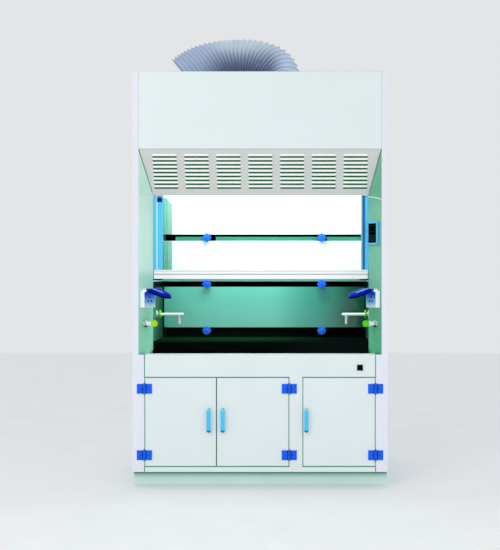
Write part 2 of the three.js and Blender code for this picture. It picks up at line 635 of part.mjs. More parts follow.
function suspension(group, side) {
  const [w, d, h] = WEIGHT_SIZE;
  group.add(mesh(`counterweight_${side}`, block([CABLE_X - w / 2, CABLE_X + w / 2],
    [WEIGHT_DEPTH - d / 2, WEIGHT_DEPTH + d / 2], [WEIGHT_TOP - h, WEIGHT_TOP]), CAST_STEEL));

  const hub = [CABLE_X, at(PULLEY_DEPTH), PULLEY_Z];
  const flank = (sign) => round('x', [hub[0] + sign * 3, hub[1], hub[2]], 6,
    sign > 0 ? 24 : PULLEY_RIM_RADIUS, 20, sign > 0 ? PULLEY_RIM_RADIUS : 24);
  const wheel = cut(join(flank(-1), flank(1)), round('x', hub, 20, 5.4, 12));
  group.add(mesh(`pulley_${side}`, wheel, STEEL));

  const top = PULLEY_Z + 1;
  const drop = (depth, z) => round('z', [CABLE_X, at(depth), (z + top) / 2], top - z, CABLE_RADIUS, 8);
  const over = [];
  for (let angle = 180; angle >= 0; angle -= 15) {
    const turn = THREE.MathUtils.degToRad(angle);
    over.push(new THREE.Vector3(CABLE_X, at(PULLEY_DEPTH + PULLEY_PITCH_RADIUS * Math.cos(turn)),
      PULLEY_Z + PULLEY_PITCH_RADIUS * Math.sin(turn)));
  }
  const section = new THREE.Shape();
  section.absarc(0, 0, CABLE_RADIUS, 0, 2 * Math.PI);
  const extrudePath = new THREE.CatmullRomCurve3(over);
  const wrap = new THREE.ExtrudeGeometry(section, {
    steps: over.length, extrudePath, bevelEnabled: false, curveSegments: 4 });
  const cable = join(
    drop(SASH_CABLE_DEPTH, LUG_TOP + GAP), toSolid(wrap), drop(WEIGHT_DEPTH, WEIGHT_TOP + GAP));
  group.add(mesh(`sash_cable_${side}`, cable, STEEL));
}

// Exhaust duct: up out of the collar, over to the left and down again
function exhaustDuct() {
  const point = (x, z) => new THREE.Vector3(x, at(DUCT_DEPTH), z);
  const start = BODY_TOP + GAP;
  const apex = 2625;
  const bendStart = start + COLLAR_HEIGHT + 4;
  const path = new THREE.CurvePath();
  path.add(new THREE.LineCurve3(point(DUCT_X, start), point(DUCT_X, bendStart)));
  path.add(new THREE.CubicBezierCurve3(
    point(DUCT_X, bendStart), point(DUCT_X, bendStart + 112), point(10, apex), point(-140, apex)));
  path.add(new THREE.CubicBezierCurve3(
    point(-140, apex), point(-290, apex), point(-425, apex - 35), point(-500, 2522)));
  const ring = new THREE.Shape();
  ring.absarc(0, 0, DUCT_RADIUS, 0, 2 * Math.PI);
  const bore = new THREE.Path();
  bore.absarc(0, 0, DUCT_RADIUS - DUCT_WALL, 0, 2 * Math.PI);
  ring.holes.push(bore);
  const tube = new THREE.ExtrudeGeometry(ring, {
    steps: 20, extrudePath: path, bevelEnabled: false, curveSegments: 10 });
  hood.add(mesh('exhaust_duct', toSolid(tube), DUCT_GREY));
}

plinth();
backPanel();
roof();
headerPanel();
louverPanel();
baseCarcass();
frontFrame();
apronVent();
worktop();
cupboardDoors();
chamberCeiling();
lamp();
baffles();
starKnobs();
sashGlass();
sashHandle();
exhaustDuct();
bothSides(sideShell);
bothSides(liner);
bothSides(tap);
bothSides(jamb);
bothSides(sashStile);
bothSides(suspension);

export default hood;
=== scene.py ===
"""Looks of the ducted fume hood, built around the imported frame. Metres, +Z up, front facing -Y."""
import json
import math

import bmesh
import bpy
from mathutils import Matrix, Vector

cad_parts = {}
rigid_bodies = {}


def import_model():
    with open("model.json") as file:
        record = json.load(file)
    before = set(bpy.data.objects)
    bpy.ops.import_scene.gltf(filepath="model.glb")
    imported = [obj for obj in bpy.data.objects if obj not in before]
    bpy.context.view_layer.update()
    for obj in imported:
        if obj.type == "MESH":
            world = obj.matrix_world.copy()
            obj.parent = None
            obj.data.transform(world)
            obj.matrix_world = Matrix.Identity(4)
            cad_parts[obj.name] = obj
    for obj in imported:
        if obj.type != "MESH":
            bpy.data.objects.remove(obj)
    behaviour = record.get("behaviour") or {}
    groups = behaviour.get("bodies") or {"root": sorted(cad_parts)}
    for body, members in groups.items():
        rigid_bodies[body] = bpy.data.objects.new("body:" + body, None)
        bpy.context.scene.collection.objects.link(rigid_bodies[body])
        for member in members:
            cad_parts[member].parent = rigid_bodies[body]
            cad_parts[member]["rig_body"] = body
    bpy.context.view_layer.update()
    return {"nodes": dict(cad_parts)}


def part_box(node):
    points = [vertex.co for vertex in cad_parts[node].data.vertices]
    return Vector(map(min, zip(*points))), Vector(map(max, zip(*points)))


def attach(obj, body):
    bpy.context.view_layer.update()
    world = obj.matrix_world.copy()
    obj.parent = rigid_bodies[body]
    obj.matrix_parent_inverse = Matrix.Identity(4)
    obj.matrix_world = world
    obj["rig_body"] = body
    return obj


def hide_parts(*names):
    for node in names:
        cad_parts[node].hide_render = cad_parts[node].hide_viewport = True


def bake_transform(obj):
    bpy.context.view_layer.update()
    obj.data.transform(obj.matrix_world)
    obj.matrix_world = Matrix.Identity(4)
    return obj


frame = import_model()

SHEET = 0.0015
BODY_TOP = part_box("top_panel")[0].z + SHEET
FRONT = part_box("header_panel")[0].y
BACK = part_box("back_panel")[1].y
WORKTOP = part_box("worktop")[1].z
LINER_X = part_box("liner_right")[0].x
BAFFLE_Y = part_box("baffle_lower")[0].y
DUCT_X, DUCT_Y = 0.130, FRONT + 0.425
CAMERA_DISTANCE = 5.5
SIDES = (("left", -1), ("right", 1))


# ---------------------------------------------------------------- camera and studio

def make_camera():
    data = bpy.data.cameras.new("camera")
    data.lens = 61.3
    data.shift_x = -0.091
    camera = bpy.data.objects.new("camera", data)
    camera.location = (0.235, FRONT - CAMERA_DISTANCE, 1.242)
    camera.rotation_euler = (math.pi / 2, 0, 0)
    bpy.context.scene.collection.objects.link(camera)
    bpy.context.scene.camera = camera


def area_light(name, place, target, size, energy, color=(1, 1, 1)):
    data = bpy.data.lights.new(name, "AREA")
    data.shape = "RECTANGLE"
    data.size, data.size_y = size
    data.energy = energy
    data.color = color
    light = bpy.data.objects.new(name, data)
    light.location = place
    light.rotation_euler = (Vector(target) - Vector(place)).to_track_quat("-Z", "Y").to_euler()
    bpy.context.scene.collection.objects.link(light)


def make_studio():
    bpy.context.scene.view_settings.view_transform = "Standard"
    world = bpy.data.worlds.new("world")
    bpy.context.scene.world = world
    world.use_nodes = True
    world.node_tree.nodes["Background"].inputs["Color"].default_value = (0.96, 0.98, 1.0, 1)
    world.node_tree.nodes["Background"].inputs["Strength"].default_value = 0.80
    area_light("key", (-2.2, FRONT - 3.6, 3.6), (0, 0, 1.3), (2.4, 2.4), 36)
    area_light("fill", (2.8, FRONT - 3.2, 2.0), (0, 0, 1.2), (2.4, 2.4), 9)
    area_light("low_front", (0.2, FRONT - 3.0, 0.5), (0, 0, 0.9), (2.6, 0.8), 5)
    lamp_y = FRONT + 0.35
    area_light("chamber_lamp", (0, lamp_y, 2.148), (0, lamp_y, 0.8), (1.1, 0.07), 14, (0.97, 1, 0.99))
    mesh = bpy.data.meshes.new("floor")
    corners = [(-9, -9, 0), (9, -9, 0), (9, 9, 0), (-9, 9, 0)]
    mesh.from_pydata(corners, [], [(0, 1, 2, 3)])
    floor = bpy.data.objects.new("floor", mesh)
    floor.location.z = -0.0008
    bpy.context.scene.collection.objects.link(floor)
    floor.data.materials.append(coat("floor_paint", (0.93, 0.94, 0.94), 0.7, mottle=0.02))


# ---------------------------------------------------------------- materials

def link(tree, a, output, b, socket):
    tree.links.new(a.outputs[output], b.inputs[socket])


def noise(tree, scale, detail=3.0, stretch=(1, 1, 1)):
    place = tree.nodes.new("ShaderNodeTexCoord")
    mapping = tree.nodes.new("ShaderNodeMapping")
    mapping.inputs["Scale"].default_value = stretch
    texture = tree.nodes.new("ShaderNodeTexNoise")
    texture.inputs["Scale"].default_value = scale
    texture.inputs["Detail"].default_value = detail
    link(tree, place, "Object", mapping, "Vector")
    link(tree, mapping, "Vector", texture, "Vector")
    return texture


def blend_range(tree, source, low, high):
    ranges = tree.nodes.new("ShaderNodeMapRange")
    ranges.inputs["To Min"].default_value = low
    ranges.inputs["To Max"].default_value = high
    ranges.inputs["From Min"].default_value = 0.3
    ranges.inputs["From Max"].default_value = 0.7
    link(tree, source, "Fac", ranges, "Value")
    return ranges


def add_gradient(tree, last, axis, start, end, color):
    """Fades the colour so far into another between two places along an axis."""
    place = tree.nodes.new("ShaderNodeTexCoord")
    split = tree.nodes.new("ShaderNodeSeparateXYZ")
    ramp = tree.nodes.new("ShaderNodeMapRange")
    ramp.interpolation_type = "SMOOTHSTEP"
    ramp.inputs["From Min"].default_value = start
    ramp.inputs["From Max"].default_value = end
    fade = tree.nodes.new("ShaderNodeMix")
    fade.data_type = "RGBA"
    fade.inputs["B"].default_value = (*color, 1)
    link(tree, place, "Object", split, "Vector")
    link(tree, split, axis, ramp, "Value")
    link(tree, ramp, "Result", fade, "Factor")
    link(tree, last, "Result", fade, "A")
    return fade


def coat(name, color, rough, mottle=0.05, cloud=3.0, peel=700.0, bump=0.04, metal=0.0, gloss=0.0,
         gradients=(), stretch=(1, 1, 1), transmission=0.0, specular=0.5, ior=1.5):
    """A painted, moulded or rolled surface: clouded colour, uneven gloss and a fine texture.

    Each gradient is (axis, start, end, color), with start and end in metres along the object's axis."""
    material = bpy.data.materials.new(name)
    material.use_nodes = True
    tree = material.node_tree
    shader = tree.nodes["Principled BSDF"]
    clouds = noise(tree, cloud, 4.0)
    mix = tree.nodes.new("ShaderNodeMix")
    mix.data_type = "RGBA"
    dark = tuple(c * (1 - mottle * 2) for c in color)
    mix.inputs["A"].default_value = (*color, 1)
    mix.inputs["B"].default_value = (*dark, 1)
    link(tree, blend_range(tree, clouds, 0.0, 0.8), "Result", mix, "Factor")
    for gradient in gradients:
        mix = add_gradient(tree, mix, *gradient)
    link(tree, mix, "Result", shader, "Base Color")
    uneven = blend_range(tree, noise(tree, cloud * 6, 3.0), rough * 0.88, min(1, rough * 1.15))
    link(tree, uneven, "Result", shader, "Roughness")
    fine = noise(tree, peel, 2.0, stretch)
    relief = tree.nodes.new("ShaderNodeBump")
    relief.inputs["Strength"].default_value = bump
    relief.inputs["Distance"].default_value = 0.0004
    link(tree, fine, "Fac", relief, "Height")
    link(tree, relief, "Normal", shader, "Normal")
    shader.inputs["Metallic"].default_value = metal
    shader.inputs["Coat Weight"].default_value = gloss
    shader.inputs["Coat Roughness"].default_value = 0.08
    shader.inputs["Transmission Weight"].default_value = transmission
    shader.inputs["Specular IOR Level"].default_value = specular
    shader.inputs["IOR"].default_value = ior
    return material


def make_materials():
    return {
        "white": coat("white_powder_coat", (0.78, 0.855, 0.855), 0.42, mottle=0.015, specular=0.35),
        # Side posts: the paint turns a little cooler and bluer towards the bottom as painted shade.
        "post": coat("post_powder_coat", (0.82, 0.81, 0.88), 0.42, mottle=0.015, specular=0.35,
                     gradients=(("Z", 1.9, 0.9, (0.80, 0.83, 0.91)),)),
        "louver": coat("louver_grey_coat", (0.66, 0.68, 0.66), 0.45, mottle=0.03, specular=0.3),
        "blade": coat("louver_blade_white", (0.97, 0.98, 0.97), 0.4, mottle=0.01),
        "slot_green": coat("slot_shadow_green", (0.004, 0.17, 0.040), 0.6, mottle=0.2, specular=0.0),
        # Jambs: the mint stands for green shade on the pale jambs. The left copy is the lit one and the right
        # copy the shaded one; both darken towards the bottom as painted shade, and the left one shifts tone
        # above 1.716 m.
        "mint_left": coat("mint_coat_lit_left", (0.68, 0.92, 0.82), 0.42, mottle=0.03, specular=0.2,
                          gradients=(("Z", 1.29, 1.22, (0.45, 0.80, 0.68)),
                                     ("Z", 1.15, 0.90, (0.27, 0.69, 0.48)),
                                     ("Z", 1.706, 1.716, (0.62, 0.92, 0.79)))),
        "mint_right": coat("mint_coat_shaded_right", (0.17, 0.51, 0.32), 0.42, mottle=0.04, specular=0.2,
                           gradients=(("Z", 1.75, 1.60, (0.22, 0.56, 0.38)),
                                      ("Z", 1.25, 0.90, (0.11, 0.44, 0.25)))),
        # Inner liners: dark green painted shade, darker towards the back, with a near-black painted shadow
        # band from 1.163 to 1.201 m under the rear slot and a lighter, lit green above it.
        "mint_liner": coat("mint_liner_coat", (0.10, 0.30, 0.19), 0.5, mottle=0.08, specular=0.03,
                           gradients=(("Y", FRONT + 0.2, FRONT + 0.6, (0.012, 0.10, 0.055)),
                                      ("Z", 1.1615, 1.1630, (0.001, 0.004, 0.003)),
                                      ("Z", 1.2010, 1.2030, (0.30, 0.62, 0.50)))),
        # Green painted shade for the corner strips and the middle baffle's lip; the paler green darkens
        # towards the top, also painted shade.
        "guide": coat("guide_mint", (0.15, 0.36, 0.30), 0.5, mottle=0.05, specular=0.1),
        "guide_pale": coat("guide_pale", (0.23, 0.44, 0.39), 0.5, mottle=0.03, specular=0.1,
                           gradients=(("Z", 1.35, 1.70, (0.19, 0.39, 0.34)),)),
        # Green painted shade for the bands behind the upper baffle slots.
        "green_band": coat("slot_band_green", (0.04, 0.23, 0.16), 0.4, mottle=0.06, specular=0.1),
        # Dark green painted shade for the door gaps, the door edges and the apron joints.
        "gap_shade": coat("gap_shade_green", (0.025, 0.27, 0.17), 0.6, mottle=0.1, peel=1500, specular=0.03),
        "chrome": coat("bright_chrome", (0.62, 0.66, 0.66), 0.12, metal=1.0, mottle=0.06, bump=0.01),
        # Lower baffle: the teal stands for a pale panel in green shade, and it darkens towards the right as
        # painted shade.
        "teal": coat("lower_baffle_shade_teal", (0.15, 0.60, 0.48), 0.12, mottle=0.04, gloss=0.35, bump=0.008,
                     specular=0.25,
                     gradients=(("X", 0.0, 0.36, (0.035, 0.34, 0.26)),
                                ("X", 0.30, 0.62, (0.003, 0.09, 0.055)))),
        "pale_panel": coat("pale_laminate", (0.97, 0.985, 0.985), 0.33, mottle=0.01, specular=0.3),
        # Black worktop with a painted dark green reflection towards the back, strongest on the left.
        "black": coat("black_worktop", (0.0015, 0.002, 0.002), 0.5, mottle=0.3, cloud=14, specular=0.0,
                      gradients=(("Y", FRONT + 0.12, FRONT + 0.44, (0.003, 0.023, 0.009)),
                                 ("X", -0.05, 0.5, (0.002, 0.004, 0.004)))),
        # Near-black painted shade for the plenum behind the baffles, dark green at the bottom on the left.
        "plenum": coat("plenum_shade_sheet", (0.002, 0.003, 0.003), 0.6, mottle=0.3, specular=0.03,
                       gradients=(("Z", 0.885, 0.845, (0.006, 0.040, 0.022)),
                                  ("X", -0.25, 0.45, (0.003, 0.006, 0.005)))),
        "dark": coat("dark_recess", (0.002, 0.003, 0.003), 0.6, mottle=0.3, specular=0.03),
        # Plinth: darker green towards its top, under the cabinet's overhang, as painted shade.
        "plinth": coat("plinth_coat", (0.66, 0.84, 0.81), 0.5, mottle=0.04, specular=0.2,
                       gradients=(("Z", 0.040, 0.070, (0.30, 0.66, 0.50)),
                                  ("Z", 0.064, 0.078, (0.01, 0.12, 0.05)))),
        "bar": coat("sash_bar_coat", (0.99, 1.0, 1.0), 0.35, mottle=0.004, specular=0.3),
        # Dark grey painted shade for the sash bar's grooves and the header's joint lines.
        "groove": coat("sash_groove", (0.16, 0.24, 0.23), 0.4, mottle=0.05),
        # Sash stiles: lighter towards the top as painted light. The pale band is a painted highlight; the
        # right stile's royal and grey-green bands are shaded copies of the left's sky blue and highlight.
        "sash_blue": coat("sash_edge_blue", (0.14, 0.72, 1.0), 0.32, mottle=0.03, specular=0.2,
                          gradients=(("Z", 1.5, 2.0, (0.20, 0.88, 1.0)),)),
        "sash_highlight": coat("sash_edge_highlight", (0.62, 0.98, 1.0), 0.3, mottle=0.02, specular=0.25),
        "sash_sky": coat("sash_edge_sky", (0.10, 0.62, 1.0), 0.3, mottle=0.03, specular=0.2),
        "sash_deep": coat("sash_edge_deep", (0.003, 0.022, 0.22), 0.3, mottle=0.05, specular=0.05),
        "sash_royal": coat("sash_edge_royal", (0.012, 0.13, 0.72), 0.3, mottle=0.04, specular=0.1),
        # Star knobs: a lighter blue low down, on the knobs that catch more light, as painted light.
        "star": coat("star_knob_blue", (0.014, 0.13, 0.95), 0.4, mottle=0.06, peel=1500, specular=0.12,
                     gradients=(("Z", 1.25, 0.95, (0.03, 0.21, 1.0)),)),
        "hinge": coat("hinge_blue", (0.008, 0.135, 0.98), 0.4, mottle=0.05, peel=1500, specular=0.1),
        # Socket faces: pale at the bottom and deep blue towards the top, under the cover, as painted shade.
        "socket_plate": coat("socket_face_shading", (0.62, 0.86, 0.99), 0.32, mottle=0.02, specular=0.1,
                              gradients=(("Z", 1.055, 1.085, (0.20, 0.52, 0.93)),
                                         ("Z", 1.085, 1.135, (0.004, 0.07, 0.92)))),
        # Splash covers: a pale blue painted highlight streak and near-black painted shade along the rim.
        "cover_highlight": coat("cover_highlight_blue", (0.20, 0.48, 1.0), 0.3, mottle=0.05, specular=0.15),
        "cover_rim_shade": coat("cover_rim_shade_navy", (0.001, 0.002, 0.035), 0.3, mottle=0.1, specular=0.02),
        "bead": coat("pale_bead", (0.97, 1.0, 0.99), 0.4, mottle=0.02, specular=0.2),
        "ring": coat("knob_ring", (0.05, 0.20, 0.005), 0.35, mottle=0.05, specular=0.1),
        "screw": coat("screw_blue", (0.006, 0.07, 0.50), 0.4, mottle=0.1, specular=0.2),
        # Handles: a painted cyan highlight at the top and dark blue painted shade at the bottom end.
        "handle": coat("handle_blue", (0.05, 0.60, 0.95), 0.3, mottle=0.04, specular=0.3,
                       gradients=(("Z", 0.440, 0.456, (0.10, 0.88, 0.82)),
                                  ("Z", 0.337, 0.328, (0.01, 0.13, 0.45)))),
        "handle_edge": coat("handle_edge_blue", (0.012, 0.20, 0.62), 0.35, mottle=0.05),
        "cover": coat("cover_dark_blue", (0.001, 0.010, 0.36), 0.3, mottle=0.1, specular=0.015),
        "socket": coat("socket_white", (0.90, 0.94, 0.99), 0.32, mottle=0.02, peel=1500, specular=0.3),
        "valve": coat("valve_white", (0.90, 0.95, 0.93), 0.25, mottle=0.02, gloss=0.4),
        "green": coat("knob_green", (0.12, 0.72, 0.005), 0.4, mottle=0.06, specular=0.1),
        "green_cap": coat("knob_cap_green", (0.10, 0.86, 0.005), 0.4, mottle=0.04, specular=0.05),
        "yellow": coat("knob_yellow_green", (0.42, 0.80, 0.01), 0.4, mottle=0.05, specular=0.1),
        "yellow_cap": coat("knob_cap_yellow", (0.74, 0.99, 0.01), 0.4, mottle=0.03, specular=0.05),
        "steel": coat("bright_steel", (0.60, 0.62, 0.63), 0.3, metal=1.0, mottle=0.05, stretch=(1, 1, 30)),
        "cast": coat("weight_steel", (0.16, 0.17, 0.18), 0.55, metal=0.7, mottle=0.2, bump=0.3, cloud=20),
        # Hose: in the bend the film darkens towards the bottom, where the turns crowd together, as painted
        # shade; the wires are near-white on top as painted highlights and dark below as painted shade; both
        # take set bluer tones towards the two ends.
        "duct": coat("duct_film", (0.55, 0.69, 0.79), 0.3, mottle=0.10, cloud=9, peel=400, bump=0.12,
                     gradients=(("Z", 2.68, 2.55, (0.24, 0.29, 0.45)),
                                ("X", -0.22, -0.40, (0.42, 0.52, 0.70)),
                                ("X", 0.03, 0.16, (0.54, 0.68, 0.86)))),
        "duct_rib": coat("duct_rib_wire", (0.90, 0.96, 0.99), 0.3, mottle=0.05,
                         gradients=(("Z", 2.69, 2.60, (0.09, 0.09, 0.16)),
                                    ("X", -0.22, -0.40, (0.34, 0.38, 0.52)),
                                    ("X", 0.03, 0.16, (0.40, 0.45, 0.58)))),
        "panel_frame": coat("panel_frame_blue", (0.10, 0.50, 0.90), 0.28, mottle=0.04, gloss=0.4),
        "display": coat("display_glass", (0.002, 0.006, 0.002), 0.5, mottle=0.3, specular=0.0),
        "display_mark": coat("display_mark", (0.02, 0.12, 0.03), 0.3, mottle=0.2, specular=0.1),
        # Dark green painted shade for the base carcass, which shows only through the door gaps.
        "carcass_gap_shade": coat("carcass_shade_green", (0.10, 0.26, 0.21), 0.7, mottle=0.1),
        "lamp": coat("lamp_housing", (0.9, 0.93, 0.93), 0.4, mottle=0.03),
        "glass": coat("sash_glass_clear", (0.97, 1.0, 0.995), 0.02, mottle=0.002, bump=0.0, peel=5,
                      specular=0.4,
                      transmission=1.0, ior=1.06),
    }


# ---------------------------------------------------------------- mesh helpers

def new_object(name, bm, material, body="cabinet", smooth=True):
    bmesh.ops.recalc_face_normals(bm, faces=bm.faces)
    mesh = bpy.data.meshes.new(name)
    bm.to_mesh(mesh)
    bm.free()
    for polygon in mesh.polygons:
        polygon.use_smooth = smooth
    piece = bpy.data.objects.new(name, mesh)
    bpy.context.scene.collection.objects.link(piece)
    piece.data.materials.append(material)
    if body:
        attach(piece, body)
    return piece


def sharpen(piece, angle=35):
    """Keeps edges sharper than the angle crisp, and the rest smooth."""
    mesh = piece.data
    bm = bmesh.new()
    bm.from_mesh(mesh)
    for edge in bm.edges:
        if len(edge.link_faces) == 2 and edge.calc_face_angle(0) > math.radians(angle):
            edge.smooth = False
    bm.to_mesh(mesh)
    bm.free()


def bevel(piece, width):
    """Rounds every edge sharper than 40 degrees."""
    modifier = piece.modifiers.new("soft_edges", "BEVEL")
    modifier.width = width
    modifier.segments = 2
    modifier.limit_method = "ANGLE"
    modifier.angle_limit = math.radians(40)
    modifier.harden_normals = True


def reach(face, edge):
    """How far the face extends from one of its edges."""
    a, b = edge.verts[0].co, edge.verts[1].co
    along = (b - a).normalized()
    return max(((v.co - a) - along * (v.co - a).dot(along)).length for v in face.verts)


def refine(node, material, width=0.0012, segments=2, smallest=0.005):
    """Stands in for a CAD node with the same form and folded, rounded edges."""
    source = frame["nodes"][node]
    bm = bmesh.new()
    bm.from_mesh(source.data)
    bmesh.ops.remove_doubles(bm, verts=bm.verts, dist=1e-5)
    bmesh.ops.dissolve_limit(bm, angle_limit=math.radians(1), verts=bm.verts, edges=bm.edges)
    layer = bm.edges.layers.float.new("bevel_weight_edge")
    for edge in bm.edges:
        if len(edge.link_faces) != 2:
            continue
        if edge.calc_face_angle(0) > math.radians(38):
            if min(reach(face, edge) for face in edge.link_faces) > smallest:
                edge[layer] = 1.0
    body = source["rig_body"]
    piece = new_object(f"{node}_shell", bm, material, body, smooth=False)
    modifier = piece.modifiers.new("soft_edges", "BEVEL")
    modifier.width = width
    modifier.segments = segments
    modifier.limit_method = "WEIGHT"
    modifier.use_clamp_overlap = True
    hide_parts(node)
    return piece


def add_box(bm, low, high, turn=None):
    size = Vector(high) - Vector(low)
    centre = (Vector(high) + Vector(low)) / 2
    matrix = Matrix.Translation(centre) @ Matrix.Diagonal((*size, 1))
    if turn is not None:
        matrix = turn @ matrix
    bmesh.ops.create_cube(bm, size=1, matrix=matrix)


def box_piece(name, boxes, material, body="cabinet", turn=None, soft=0.0):
    """One piece made of plates or blocks, each given by its low and high corner."""
    bm = bmesh.new()
    for low, high in boxes:
        add_box(bm, low, high, turn)
    piece = new_object(name, bm, material, body, smooth=False)
    if soft:
        bevel(piece, soft)
    return piece


def add_revolved(bm, profile, matrix, steps=32, lobes=0, swell=lambda radius: 0):
    """A body of revolution about local Z: (radius, height) from axis to axis, or round a closed loop.

    With lobes, a ring's radius goes up and down by its swell, that many times around."""
    rings = []
    for radius, height in profile:
        if radius < 1e-7:
            rings.append([bm.verts.new(matrix @ Vector((0, 0, height)))])
            continue
        ring = []
        for i in range(steps):
            angle = 2 * math.pi * i / steps
            r = radius + swell(radius) * math.cos(lobes * angle)
            ring.append(bm.verts.new(matrix @ Vector((r * math.cos(angle), r * math.sin(angle), height))))
        rings.append(ring)
    for a, b in zip(rings, rings[1:]):
        for i in range(steps):
            j = (i + 1) % steps
            corners = [a[i % len(a)], a[j % len(a)], b[j % len(b)], b[i % len(b)]]
            unique = list(dict.fromkeys(corners))
            if len(unique) > 2:
                bm.faces.new(unique)


def turned_piece(name, profile, matrix, material, body="cabinet", steps=32, crisp=50, **lobing):
    """One piece of revolution, with its edges sharper than crisp degrees kept hard."""
    bm = bmesh.new()
    add_revolved(bm, profile, matrix, steps, **lobing)
    piece = new_object(name, bm, material, body)
    sharpen(piece, crisp)
    return piece


def frame_to(origin, z_axis, x_axis=(0, 0, 1)):
    """A matrix whose local Z runs along z_axis from the origin."""
    z = Vector(z_axis).normalized()
    x = Vector(x_axis)
    x = (x - z * x.dot(z)).normalized()
    y = z.cross(x)
    rotation = Matrix((x, y, z)).transposed().to_4x4()
    return Matrix.Translation(origin) @ rotation


def bridge(bm, rings, closed=False):
    """Faces between each ring and the next, and from the last back to the first where closed."""
    pairs = list(zip(rings, rings[1:]))
    if closed:
        pairs.append((rings[-1], rings[0]))
    for a, b in pairs:
        for k in range(len(a)):
            j = (k + 1) % len(a)
            bm.faces.new((a[k], a[j], b[j], b[k]))


def torus(bm, matrix, radius, wire, around, section):
    """A wire bent round local Z."""
    rings = []
    for i in range(around):
        angle = 2 * math.pi * i / around
        ring = []
        for k in range(section):
            turn = 2 * math.pi * k / section
            r = radius + wire * math.cos(turn)
            point = Vector((r * math.cos(angle), r * math.sin(angle), wire * math.sin(turn)))
            ring.append(bm.verts.new(matrix @ point))
        rings.append(ring)
    bridge(bm, rings, closed=True)


# ---------------------------------------------------------------- jamb frame

SPLAY = Vector((-0.069, 0.115, 0))
JAMB_START = Vector((0.713, FRONT + 0.001, 0))


def jamb_matrix(sign):
    """Local x back along the splay, y out of its face, z up; mirrored for the left-hand side."""
    along = SPLAY.normalized()
    out = Vector((0, 0, 1)).cross(along)
    matrix = Matrix((along, out, Vector((0, 0, 1)))).transposed().to_4x4()
    matrix = Matrix.Translation(JAMB_START) @ matrix
    return Matrix.Diagonal((sign, 1, 1, 1)) @ matrix


# ---------------------------------------------------------------- casing

def casing(m):
    refine("top_panel", m["white"])
    refine("back_panel", m["white"])
    refine("header_panel", m["white"], 0.0014)
    refine("front_frame", m["white"], 0.0013)
    # The base carcass takes dark green painted shade, seen through the door gaps.
    refine("base_carcass", m["carcass_gap_shade"])
    refine("plinth", m["plinth"])
    for side, _ in SIDES:
        refine(f"side_shell_{side}", m["post"], 0.0013)
        # Each jamb takes its own copy of the mint paint: lit on the left, shaded on the right.
        refine(f"jamb_{side}", m[f"mint_{side}"], 0.0007)
        refine(f"liner_{side}", m["mint_liner"], 0.0006)
    refine("chamber_ceiling", m["pale_panel"], 0.0006)
    refine("lamp", m["lamp"], 0.003)
    refine("worktop", m["black"], 0.003, 3)
    for name in ("baffle_middle", "baffle_upper"):
        refine(name, m["pale_panel"], 0.0015)
    # The lower baffle takes the teal painted shade.
    refine("baffle_lower", m["teal"], 0.0015)
    for name in ("left", "middle", "right"):
        leaf = refine(f"door_{name}", m["white"], 0.0013)
        leaf.data.materials.append(m["hinge"])
        # Only the door's own hinge leaves stand in front of its face
        for face in leaf.data.polygons:
            if face.center.y < FRONT - 0.0005:
                face.material_index = 1


def add_louver_blade(bm, place, middle, top):
    """A hood that bows out of the panel and closes down to it at both ends."""
    half, rise, drop, closing = 0.073, 0.0048, 0.0112, 0.010
    across, down = 22, 6
    grid = []
    for i in range(across + 1):
        t = i / across * 2 - 1
        edge = min(1.0, (1 - abs(t)) * half / closing)
        swell = math.sin(edge * math.pi / 2)
        line = []
        for k in range(down + 1):
            v = k / down
            out = 0.0022 + rise * swell * math.sin(v * math.pi / 2)
            line.append(bm.verts.new(place @ Vector((middle + t * half, -out, top - drop * v))))
        grid.append(line)
    for i in range(across):
        for k in range(down):
            bm.faces.new((grid[i][k], grid[i + 1][k], grid[i + 1][k + 1], grid[i][k + 1]))


def louvers(m):
    """Pressed hoods over the slots of the slanted panel."""
    refine("louver_panel", m["louver"], 0.0006)
    setback, fall = 0.115, 0.264
    slope = math.hypot(setback, fall)
    top_edge = (0, FRONT + SHEET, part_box("louver_panel")[1].z + 0.0007)
    place = Matrix.Translation(top_edge) @ Matrix.Rotation(math.atan2(setback, fall), 4, "X")
    groups, rows, group_pitch, row_pitch = 7, 9, 0.188, 0.024
    first = -(slope - (rows - 1) * row_pitch) / 2
    centres = [((group - (groups - 1) / 2) * group_pitch, first - row * row_pitch)
               for group in range(groups) for row in range(rows)]
    bm = bmesh.new()
    for x, z in centres:
        add_louver_blade(bm, place, x, z + 0.0182)
    blades = new_object("louver_blades", bm, m["blade"])
    solid = blades.modifiers.new("sheet", "SOLIDIFY")
    solid.thickness = 0.0008
    # Painted shade: green strips on the panel below each slot and a green sheet behind the slots, for the
    # shaded gaps between the hoods.
    slot_shades = [((x - 0.071, -0.0010, z - 0.0066), (x + 0.071, -0.0002, z - 0.0044)) for x, z in centres]
    box_piece("louver_slot_shade_strips", slot_shades, m["slot_green"], turn=place)
    screen = ((-0.66, 0.002, -slope + 0.02), (0.66, 0.004, -0.02))
    box_piece("louver_slot_shade_sheet", [screen], m["slot_green"], turn=place, soft=0.0005)


